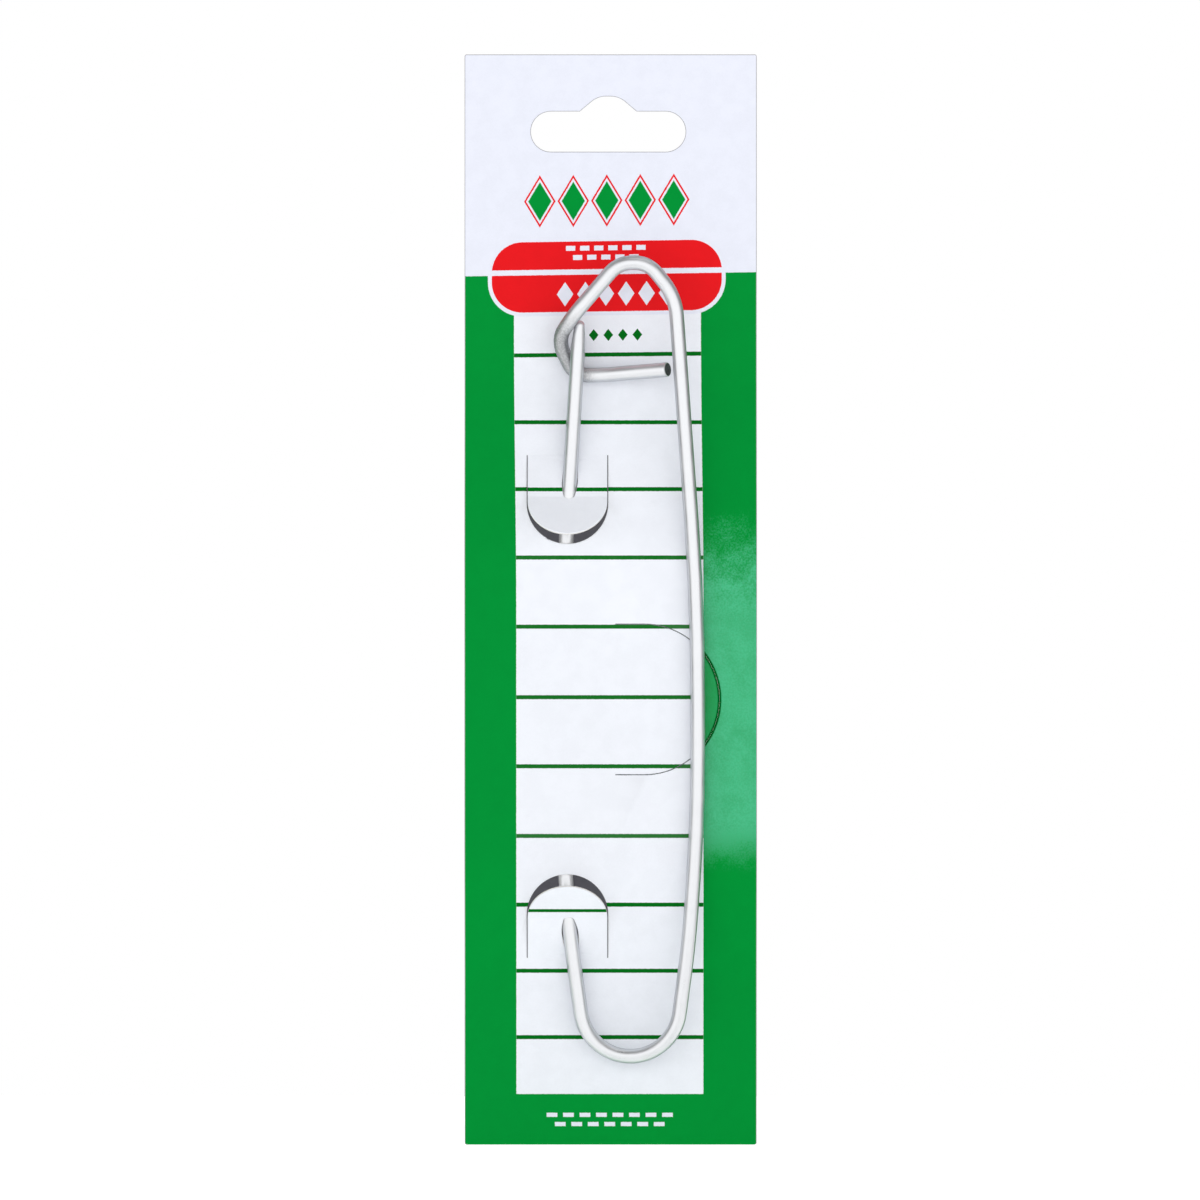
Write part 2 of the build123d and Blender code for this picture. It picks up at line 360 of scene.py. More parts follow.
@dataclass(frozen=True)
class GrainEffect:
    """Soft cloudiness with a finer tooth on it, shared by the board and the wire."""

    name: str = "Grain"
    fineness: float = 11.0
    detail: float = 3.0
    roughness: float = 0.55
    contrast: tuple[float, float] = (0.28, 0.72)

    def group(self) -> NodeTree:
        """Builds the node group once.

        Returns:
            The group, with Cloud and Tooth from 0 to 1.
        """
        found = bpy.data.node_groups.get(self.name)
        if found:
            return found
        tree = bpy.data.node_groups.new(self.name, "ShaderNodeTree")
        for name, kind in (("Vector", "NodeSocketVector"), ("Scale", "NodeSocketFloat")):
            tree.interface.new_socket(name, in_out="INPUT", socket_type=kind)
        for name in ("Cloud", "Tooth"):
            tree.interface.new_socket(name, in_out="OUTPUT", socket_type="NodeSocketFloat")
        start = tree.nodes.new("NodeGroupInput")
        end = tree.nodes.new("NodeGroupOutput")
        graph = Graph(tree)
        fine = graph.math("MULTIPLY", start.outputs["Scale"], self.fineness)
        for name, scale in (("Cloud", start.outputs["Scale"]), ("Tooth", fine)):
            noise = graph.add("TexNoise")
            noise.inputs["Detail"].default_value = self.detail
            noise.inputs["Roughness"].default_value = self.roughness
            graph.feed(noise.inputs["Vector"], start.outputs["Vector"])
            graph.feed(noise.inputs["Scale"], scale)
            graph.feed(end.inputs[name], graph.ramp(noise.outputs[0], *self.contrast))
        return tree

    def place(self, graph: Graph, vector: NodeSocket, scale: float) -> tuple[NodeSocket, NodeSocket]:
        """Puts the effect in a material.

        Args:
            graph: The material's nodes.
            vector: Coordinates that the grain lies in.
            scale: Clouds per metre.

        Returns:
            Cloud and tooth, from 0 to 1.
        """
        node = graph.add("Group", node_tree=self.group())
        graph.feed(node.inputs["Vector"], vector)
        node.inputs["Scale"].default_value = scale
        return node.outputs["Cloud"], node.outputs["Tooth"]


GRAIN = GrainEffect()


def start_graph(owner: Material | World) -> Graph:
    """Empties the nodes of a material or a world.

    Args:
        owner: The material or the world.

    Returns:
        A graph on its node tree.
    """
    owner.use_nodes = True
    owner.node_tree.nodes.clear()
    return Graph(owner.node_tree)


def start_material(name: str) -> tuple[Material, Graph, Node]:
    """Makes a material with one Principled shader.

    Args:
        name: Name of the material.

    Returns:
        The material, its graph and the shader.
    """
    material = bpy.data.materials.new(name)
    graph = start_graph(material)
    shader = graph.add("BsdfPrincipled")
    graph.show(shader.outputs[0])
    return material, graph, shader


@dataclass(frozen=True)
class MotifRow:
    """A row of equal motifs on the print, a whole number of pitches wide."""

    drop: float
    pitch: float
    middle: float
    half_width: float
    half_height: float
    half_row: float

    def one_place(self) -> float:
        """Place across of one motif: the middle of the row, or half a pitch beside it."""
        odd = round(2 * self.half_row / self.pitch) % 2
        return self.middle + (0.0 if odd else self.pitch / 2)


@dataclass(frozen=True)
class CardPrint:
    """Layout of the print, in millimetres from the middle of the hang slot, and its inks."""

    paper: Colour = ink(237, 240, 252)
    panel_paper: Colour = ink(245, 248, 255)
    green: Colour = ink(0, 147, 55)
    rule_green: Colour = ink(0, 108, 24)
    red: Colour = ink(236, 28, 34)
    green_from: float = 29.4
    panel_across: tuple[float, float] = (-18.93, 19.6)
    panel_drop: tuple[float, float] = (36.0, 198.35)
    panel_swing: float = 0.5
    swing_drop: tuple[float, float] = (40.0, 100.0)
    skew: float = 0.0144
    skew_drop: tuple[float, float] = (38.0, 60.0)
    rules: tuple[float, ...] = (
        45.95, 59.96, 73.76, 87.80, 102.02, 116.54, 130.76, 145.10, 159.23, 172.92, 186.64,
    )
    rule_half: float = 0.42
    label_middle: tuple[float, float] = (-0.3, 29.8)
    label_half: tuple[float, float] = (23.7, 7.25)
    label_round: float = 6.3
    label_border: float = 0.8
    divider: tuple[float, float] = (28.3, 29.4)
    stitches: tuple[MotifRow, ...] = (
        MotifRow(23.95, 2.9, -0.5, 0.95, 0.5, 8.7),
        MotifRow(25.85, 2.9, -0.5, 0.95, 0.5, 7.25),
        MotifRow(202.65, 3.4, 0.3, 1.1, 0.42, 13.6),
        MotifRow(204.55, 3.4, 0.3, 1.1, 0.42, 11.9),
    )
    studs: MotifRow = MotifRow(33.4, 4.2, 1.6, 1.7, 2.5, 12.6)
    marks: MotifRow = MotifRow(41.9, 3.0, 0.0, 1.0, 1.25, 7.5)
    band: MotifRow = MotifRow(14.2, 6.9, -0.3, 3.25, 5.4, 17.25)
    band_white: float = 0.87
    band_green: float = 0.74
    lozenge_edge: float = 0.025


class PrintPainter:
    """Paints the layout of the print in the graph of one material."""

    def __init__(self, graph: Graph, across: Source, drop: Source, layout: CardPrint) -> None:
        """Sets the point that is painted. The header is a touch askew, and the panel swings a bit.

        Args:
            graph: The material's nodes.
            across: Coordinate to the right.
            drop: Coordinate downwards.
            layout: What is printed.
        """
        skew = graph.ramp(drop, *layout.skew_drop, layout.skew, 0.0)
        self.graph, self.layout, self.across = graph, layout, across
        self.drop = graph.math("MULTIPLY_ADD", across, skew, drop)
        swing = graph.ramp(self.drop, *layout.swing_drop, layout.panel_swing, 0.0)
        self.panel_width = graph.inside(graph.math("ADD", across, swing), *layout.panel_across)
        self.panel = graph.times(self.panel_width, graph.inside(self.drop, *layout.panel_drop))

    def beyond_label(self) -> NodeSocket:
        """Distance outside the label's rounded outline, below zero inside it.

        Returns:
            The distance, in millimetres.
        """
        graph, layout, reach = self.graph, self.layout, []
        for value, middle, half in zip(
            (self.across, self.drop), layout.label_middle, layout.label_half
        ):
            away = graph.away(value, middle)
            reach.append(graph.math("SUBTRACT", away, half - layout.label_round))
        outer = [graph.math("MAXIMUM", value, 0.0) for value in reach]
        squares = [graph.times(value, value) for value in outer]
        corner = graph.math("SQRT", graph.math("ADD", *squares))
        side = graph.math("MINIMUM", graph.math("MAXIMUM", *reach), 0.0)
        return graph.math("SUBTRACT", graph.math("ADD", corner, side), layout.label_round)

    def rules(self) -> NodeSocket:
        """Mask of the thin rules across the panel.

        Returns:
            The mask.
        """
        near = [self.graph.away(self.drop, rule) for rule in self.layout.rules]
        while len(near) > 1:
            near.append(self.graph.math("MINIMUM", near.pop(0), near.pop(0)))
        return self.graph.times(self.panel_width, self.graph.under(near[0], self.layout.rule_half))

    def in_row(self, row: MotifRow) -> tuple[NodeSocket, NodeSocket, NodeSocket]:
        """Where the point lies in a row of motifs.

        Args:
            row: The row.

        Returns:
            Distances from the nearest motif's middle across and down, and a mask of the row.
        """
        graph, pitch = self.graph, row.pitch
        shifted = graph.math("ADD", self.across, pitch / 2 - row.one_place())
        aside = graph.away(graph.math("FLOORED_MODULO", shifted, pitch), pitch / 2)
        left, right = row.middle - row.half_row, row.middle + row.half_row
        return aside, graph.away(self.drop, row.drop), graph.inside(self.across, left, right)

    def stitches(self, row: MotifRow) -> NodeSocket:
        """Mask of a row of running stitches.

        Args:
            row: The row.

        Returns:
            The mask.
        """
        aside, away, span = self.in_row(row)
        return self.graph.times(
            self.graph.under(aside, row.half_width), self.graph.under(away, row.half_height), span
        )

    def lozenges(self, row: MotifRow, size: float = 1.0) -> NodeSocket:
        """Mask of a row of lozenges.

        Args:
            row: The row.
            size: Size of what is masked, as a share of the lozenge.

        Returns:
            The mask.
        """
        graph = self.graph
        aside, away, span = self.in_row(row)
        share = graph.math(
            "ADD", graph.math("DIVIDE", aside, row.half_width),
            graph.math("DIVIDE", away, row.half_height),
        )
        return graph.times(span, graph.under(share, size, self.layout.lozenge_edge))

    def colour(self) -> NodeSocket:
        """Paints the whole layout.

        Returns:
            Colour of the print.
        """
        graph, layout, beyond = self.graph, self.layout, self.beyond_label()
        ground = graph.over(self.drop, layout.green_from)
        in_label = graph.under(beyond, layout.label_border)
        layers = [
            (self.panel, layout.panel_paper),
            (self.rules(), layout.rule_green),
            (in_label, layout.paper),
            (graph.under(beyond, 0.0), layout.red),
            (graph.times(graph.inside(self.drop, *layout.divider), in_label), layout.paper),
            *((self.stitches(row), layout.paper) for row in layout.stitches),
            (self.lozenges(layout.studs), layout.paper),
            (self.lozenges(layout.marks), layout.rule_green),
            (self.lozenges(layout.band), layout.red),
            (self.lozenges(layout.band, layout.band_white), layout.paper),
            (self.lozenges(layout.band, layout.band_green), layout.green),
        ]
        colour = graph.mix(ground, layout.paper, layout.green)
        for mask, paint in layers:
            colour = graph.mix(mask, colour, paint)
        return colour


@dataclass(frozen=True)
class CoatedFace:
    """Front of the board: print under a thin varnish, thicker where the bowed card bulges. A painted
    sheen lightens the green there, and painted shade lines the side flap's slit.
    """

    layout: CardPrint = CardPrint()
    name: str = "board_printed_coated"
    grain: float = 260.0
    ink_creep: float = 0.05
    blotch: float = 0.975
    speck: float = 0.985
    specular: float = 0.02
    roughness: tuple[float, float] = (0.34, 0.46)
    coat_roughness: float = 0.22
    coat_index: float = 1.5
    relief: tuple[float, float] = (0.10, 0.00002)
    tooth_share: float = 0.6
    sheen_across: tuple[float, float] = (8.0, 23.0)
    sheen_top: tuple[float, float] = (78.0, 99.0)
    sheen_foot: tuple[float, float] = (143.5, 152.0)
    torn_top: float = 12.0
    torn_foot: float = 5.0
    sheen_mottle: tuple[float, float] = (0.72, 1.06)
    panel_sheen: float = 0.55
    flap_sheen: float = 0.35
    flap_sheen_edge: tuple[float, float] = (-0.6, 0.5)
    # painted sheen: paler green mixed into the print where the varnish shines
    painted_sheen_colour: Colour = ink(44, 194, 140)
    painted_sheen_share: float = 0.72
    flap_middle: tuple[float, float] = (7.4, 117.0)
    flap_radius: float = 15.5
    # painted shade: dark green band along the side flap's slit over the green
    cut_shade_colour: Colour = ink(0, 100, 38)
    cut_shade_half: float = 0.4
    cut_edge: float = 0.1
    # painted shade: thin grey line along the side flap's slit
    slit_shade_colour: Colour = ink(92, 100, 102)
    slit_shade_half: float = 0.1
    slit_from: tuple[float, float] = (1.4, 1.5)

    def sheen(self, painter: PrintPainter, beyond: NodeSocket, mottle: NodeSocket) -> NodeSocket:
        """Mask of the glossier varnish on the right of the bulge, torn at its top and foot; in the
        green it also paints a paler sheen colour.

        Args:
            painter: The print.
            beyond: Distance outside the side flap.
            mottle: Ragged edge of the varnish, from 0 to 1.

        Returns:
            The mask.
        """
        graph = painter.graph
        top, foot = (
            graph.math(
                "MULTIPLY_ADD", mottle, torn, graph.math("SUBTRACT", painter.drop, torn / 2)
            )
            for torn in (self.torn_top, self.torn_foot)
        )
        column = graph.times(painter.panel, self.panel_sheen)
        side = graph.math("MAXIMUM", graph.ramp(painter.across, *self.sheen_across), column)
        return graph.times(
            side, graph.ramp(top, *self.sheen_top), graph.ramp(foot, *self.sheen_foot, 1.0, 0.0),
            graph.ramp(beyond, *self.flap_sheen_edge, self.flap_sheen, 1.0),
            graph.ramp(mottle, 0.0, 1.0, *self.sheen_mottle),
        )

    def beyond_flap(self, painter: PrintPainter) -> NodeSocket:
        """Distance outside the D-shaped cut of the side flap, below zero inside it.

        Args:
            painter: The print.

        Returns:
            The distance, in millimetres.
        """
        graph = painter.graph
        aside = graph.math("SUBTRACT", painter.across, self.flap_middle[0])
        aside = graph.math("MAXIMUM", aside, 0.0)
        away = graph.math("SUBTRACT", painter.drop, self.flap_middle[1])
        squares = [graph.times(value, value) for value in (aside, away)]
        return graph.math(
            "SUBTRACT", graph.math("SQRT", graph.math("ADD", *squares)), self.flap_radius
        )

    def build(self) -> Material:
        """Makes the material.

        Returns:
            The material.
        """
        material, graph, shader = start_material(self.name)
        place = graph.split(graph.add("UVMap", uv_map=PRINT_MAP).outputs[0])
        cloud, tooth = GRAIN.place(graph, graph.add("TexCoord").outputs["Object"], self.grain)
        creep = graph.times(graph.math("SUBTRACT", tooth, 0.5), self.ink_creep)
        across = graph.math("MULTIPLY_ADD", place[0], 1 / MM, creep)
        drop = graph.math("MULTIPLY_ADD", place[1], -1 / MM, creep)
        painter = PrintPainter(graph, across, drop, self.layout)
        beyond = self.beyond_flap(painter)
        line = graph.math("ABSOLUTE", beyond)
        green = graph.over(across, self.layout.panel_across[1])
        # Painted shade along the side flap's slit: a thin grey line, and a dark green band over the
        # green.
        slit = graph.times(graph.under(line, self.slit_shade_half), graph.ramp(across, *self.slit_from))
        cut = graph.times(graph.under(line, self.cut_shade_half, self.cut_edge), green)
        sheen = self.sheen(painter, beyond, graph.blend(tooth, self.tooth_share, cloud))
        colour = painter.colour()
        # Painted sheen in the green, then painted shade along the side flap's slit.
        for mask, paint in (
            (graph.times(sheen, green, self.painted_sheen_share), self.painted_sheen_colour),
            (slit, self.slit_shade_colour),
            (cut, self.cut_shade_colour),
        ):
            colour = graph.mix(mask, colour, paint)
        blotch = graph.ramp(cloud, 0.0, 1.0, self.blotch, 1.0)
        speck = graph.ramp(tooth, 0.0, 1.0, self.speck, 1.0)
        graph.feed(shader.inputs["Base Color"], graph.shade(colour, graph.times(blotch, speck)))
        graph.feed(shader.inputs["Roughness"], graph.ramp(tooth, 0.0, 1.0, *self.roughness))
        shader.inputs["Specular IOR Level"].default_value = self.specular
        coat = graph.times(sheen, graph.math("SUBTRACT", 1.0, cut))
        graph.feed(shader.inputs["Coat Weight"], coat)
        shader.inputs["Coat Roughness"].default_value = self.coat_roughness
        shader.inputs["Coat IOR"].default_value = self.coat_index
        graph.feed(shader.inputs["Normal"], graph.bump(tooth, *self.relief))
        return material


@dataclass(frozen=True)
class PlainBoard:
    """Unprinted board: the matt back, the pale fibres of a cut edge, or a pressed rim darkened with
    painted shade.
    """

    name: str
    pale: Colour
    dark: Colour
    stretch: tuple[float, float, float]
    scale: float
    roughness: float
    relief: float
    tooth_share: float = 0.6
    polish: float = 0.08
    relief_share: float = 0.35

    def build(self) -> Material:
        """Makes the material.

        Returns:
            The material.
        """
        material, graph, shader = start_material(self.name)
        place = graph.stretch(graph.add("TexCoord").outputs["Object"], self.stretch)
        cloud, tooth = GRAIN.place(graph, place, self.scale)
        fibre = graph.blend(tooth, self.tooth_share, cloud)
        rough = graph.ramp(tooth, 0.0, 1.0, self.roughness - self.polish, self.roughness)
        graph.feed(shader.inputs["Base Color"], graph.mix(fibre, self.dark, self.pale))
        graph.feed(shader.inputs["Roughness"], rough)
        graph.feed(shader.inputs["Normal"], graph.bump(fibre, self.relief_share, self.relief))
        return material


@dataclass(frozen=True)
class SatinWire:
    """Pearl grey aluminium with the fine lines that the drawing die leaves along it.

    Where the wire turns round the pin it is rougher from the bending tool, and its colour is
    darkened there as painted shade.
    """

    name: str = "wire_satin_pearl"
    pale: Colour = (0.76, 0.77, 0.79)
    dark: Colour = (0.69, 0.70, 0.72)
    edge_tint: Colour = (0.38, 0.39, 0.43)
    metal: float = 0.9
    grain: float = 240.0
    lines: float = 5200.0
    line_length: float = 0.012
    line_detail: float = 2.0
    line_contrast: tuple[float, float] = (0.3, 0.7)
    line_tone: float = 0.35
    tooth_relief: float = 0.4
    relief: tuple[float, float] = (0.16, 0.00001)
    roughness: tuple[float, float] = (0.27, 0.35)
    line_roughness: float = 0.09
    # stretch of the turn round the pin: rougher, and painted darker as shade
    worn_and_shaded_from: tuple[float, float] = (0.345, 0.356)
    worn_and_shaded_to: tuple[float, float] = (0.364, 0.369)
    worn_and_shaded_mottle: tuple[float, float, float, float] = (0.1, 0.9, 0.6, 1.0)
    painted_shade_share: float = 0.55
    worn_roughness: float = 0.14

    def build(self) -> Material:
        """Makes the material.

        Returns:
            The material.
        """
        material, graph, shader = start_material(self.name)
        place = graph.add("Attribute", attribute_name=WIRE_SPACE).outputs["Vector"]
        line = graph.add("TexNoise")
        graph.feed(line.inputs["Vector"], graph.stretch(place, (1.0, 1.0, self.line_length)))
        line.inputs["Scale"].default_value = self.lines
        line.inputs["Detail"].default_value = self.line_detail
        streak = graph.ramp(line.outputs[0], *self.line_contrast)
        cloud, tooth = GRAIN.place(graph, place, self.grain)
        travelled = graph.split(place)[2]
        worn_and_shaded = graph.times(
            graph.ramp(travelled, *self.worn_and_shaded_from),
            graph.ramp(travelled, *self.worn_and_shaded_to, 1.0, 0.0),
            graph.ramp(tooth, *self.worn_and_shaded_mottle),
        )
        colour = graph.mix(graph.blend(streak, self.line_tone, cloud), self.dark, self.pale)
        # Darkens the turn round the pin: painted shade.
        colour = graph.shade(colour, graph.ramp(worn_and_shaded, 0.0, 1.0, 1.0, self.painted_shade_share))
        rough = graph.ramp(cloud, 0.0, 1.0, *self.roughness)
        for mask, share in ((streak, self.line_roughness), (worn_and_shaded, self.worn_roughness)):
            rough = graph.math("MULTIPLY_ADD", mask, share, rough)
        relief = graph.blend(tooth, self.tooth_relief, streak)
        graph.feed(shader.inputs["Base Color"], colour)
        graph.feed(shader.inputs["Roughness"], rough)
        graph.feed(shader.inputs["Normal"], graph.bump(relief, *self.relief))
        shader.inputs["Metallic"].default_value = self.metal
        shader.inputs["Specular Tint"].default_value = (*self.edge_tint, 1.0)
        return material


@dataclass(frozen=True)
class CutWire:
    """Sheared end of the wire: duller, with the knife's marks across it, and painted near black as
    shade on the end face.
    """

    name: str = "wire_cut_end"
    # near-black greys: painted shade on the end face, darker than the metal itself
    pale: Colour = (0.15, 0.17, 0.165)
    dark: Colour = (0.05, 0.055, 0.055)
    marks: float = 900.0
    wander: float = 3.5
    detail: float = 3.0
    specular: float = 0.05
    roughness: tuple[float, float] = (0.6, 0.8)
    relief: tuple[float, float] = (0.4, 0.00004)

    def build(self) -> Material:
        """Makes the material.

        Returns:
            The material.
        """
        material, graph, shader = start_material(self.name)
        place = graph.add("Attribute", attribute_name=WIRE_SPACE).outputs["Vector"]
        wave = graph.add("TexWave", bands_direction="X")
        graph.feed(wave.inputs["Vector"], place)
        wave.inputs["Scale"].default_value = self.marks
        wave.inputs["Distortion"].default_value = self.wander
        wave.inputs["Detail"].default_value = self.detail
        cloud, _ = GRAIN.place(graph, place, self.marks)
        mark = graph.times(wave.outputs["Fac"], cloud)
        graph.feed(shader.inputs["Base Color"], graph.mix(mark, self.dark, self.pale))
        graph.feed(shader.inputs["Roughness"], graph.ramp(cloud, 0.0, 1.0, *self.roughness))
        graph.feed(shader.inputs["Normal"], graph.bump(mark, *self.relief))
        shader.inputs["Specular IOR Level"].default_value = self.specular
        return material


class WireBender:
    """Feeds out one wire ring by ring and bends it, in the holder's own plane."""

    SIDES = 48
    RUN_STEP = 4.0
    BEND_STEP = math.radians(3)

    def __init__(self, start: Vector, heading: Vector, across: Vector) -> None:
        """Sets the wire's start.

        Args:
            start: Middle of the first ring.
            heading: The way that the wire is fed.
            across: Direction that counts as zero round the wire.
        """
        self.point = start.copy()
        self.heading = heading.normalized()
        self.across = across.normalized()
        self.travelled = 0.0

    def start_piece(self, radius: float, sharp: bool = True) -> None:
        """Starts a new piece where the last one ended, with a closed end.

        Args:
            radius: Radius of its first ring.
            sharp: Whether the rim of its end is an edge.
        """
        self.mesh: BMesh = bmesh.new()
        self.layer = self.mesh.verts.layers.float_vector.new(WIRE_SPACE)
        made = bmesh.ops.create_circle(
            self.mesh, cap_ends=False, segments=self.SIDES, radius=radius
        )
        turn = Matrix((self.across, self.heading.cross(self.across), self.heading)).transposed()
        place = Matrix.Translation(self.point) @ turn.to_4x4()
        bmesh.ops.transform(self.mesh, matrix=place, verts=made["verts"])
        self.ring: list[BMEdge] = list(self.mesh.edges)
        self.mark(made["verts"])
        self.cap(sharp=sharp)

    def mark(self, verts: list[BMVert]) -> None:
        """Writes where each point of the newest ring lies on the straight wire, in metres.

        Args:
            verts: Points of the ring.
        """
        up = self.heading.cross(self.across)
        for vert in verts:
            away = vert.co - self.point
            vert[self.layer] = Vector((away.dot(self.across), away.dot(up), self.travelled)) * MM

    def advance(self, move: Matrix, travel: float) -> None:
        """Draws one more ring.

        Args:
            move: Takes the last ring to the new one.
            travel: Length of wire between them.
        """
        made = bmesh.ops.extrude_edge_only(self.mesh, edges=self.ring)["geom"]
        verts = [part for part in made if isinstance(part, BMVert)]
        self.ring = [part for part in made if isinstance(part, BMEdge)]
        bmesh.ops.transform(self.mesh, matrix=move, verts=verts)
        turn = move.to_3x3()
        self.point = move @ self.point
        self.heading = (turn @ self.heading).normalized()
        self.across = (turn @ self.across).normalized()
        self.travelled += travel
        self.mark(verts)

    def taper(self, length: float, share: float) -> None:
        """Feeds a length over which the wire gets thicker or thinner.

        Args:
            length: Length of wire.
            share: New radius as a share of the last ring's.
        """
        there = Matrix.Translation(self.point)
        scale = there @ Matrix.Scale(share, 4) @ there.inverted()
        self.advance(Matrix.Translation(self.heading * length) @ scale, length)

    def run(self, length: float) -> None:
        """Feeds a straight length.

        Args:
            length: Length of wire.
        """
        steps = max(1, math.ceil(length / self.RUN_STEP))
        for _ in range(steps):
            self.advance(Matrix.Translation(self.heading * (length / steps)), length / steps)

    def bend(self, towards: Vector, radius: float, angle: float) -> None:
        """Bends the wire round an arc.

        Args:
            towards: Direction from the wire to the arc's middle.
            radius: Radius of the arc.
            angle: Its angle.
        """
        middle = Matrix.Translation(self.point + towards.normalized() * radius)
        axis = self.heading.cross(towards)
        steps = max(3, math.ceil(angle / self.BEND_STEP))
        turn = middle @ Matrix.Rotation(angle / steps, 4, axis) @ middle.inverted()
        for _ in range(steps):
            self.advance(turn, radius * angle / steps)

    def follow(self, corners: list[Vector], arc_share: float) -> None:
        """Feeds the wire through corners, each an arc as large as its runs allow.

        Args:
            corners: Corners of the run, the first where the wire is now.
            arc_share: Share of a run that one corner's arc takes up.
        """
        for before, corner, after in zip(corners, corners[1:], corners[2:]):
            run_in, run_out = corner - before, after - corner
            reach = arc_share * min(run_in.length, run_out.length)
            angle = run_in.angle(run_out)
            self.run((corner - self.point).length - reach)
            towards = run_out.normalized() - run_in.normalized() * math.cos(angle)
            self.bend(towards, reach / math.tan(angle / 2), angle)
        self.run((corners[-1] - self.point).length)

    def cap(self, finish: WireFace = WireFace.DRAWN, sharp: bool = True) -> BMFace:
        """Closes the wire at its newest ring.

        Args:
            finish: Finish of the end face.
            sharp: Whether its rim is an edge.

        Returns:
            The end face.
        """
        face = bmesh.ops.contextual_create(self.mesh, geom=self.ring)["faces"][0]
        face.material_index = finish.value
        for edge in self.ring:
            edge.smooth = not sharp
        return face

    def finish_piece(self, name: str, place: Matrix, finishes: list[Material]) -> Object:
        """Closes the end of the piece if it is open, and turns it into an object.

        Args:
            name: Name of the piece.
            place: The holder's place in the model's frame, in metres.
            finishes: Its materials.

        Returns:
            The object.
        """
        if self.ring[0].is_boundary:
            self.cap()
        bmesh.ops.transform(self.mesh, matrix=place, verts=self.mesh.verts)
        bmesh.ops.recalc_face_normals(self.mesh, faces=self.mesh.faces)
        for face in self.mesh.faces:
            face.smooth = True
        return new_object(name, new_mesh(name, self.mesh), finishes)


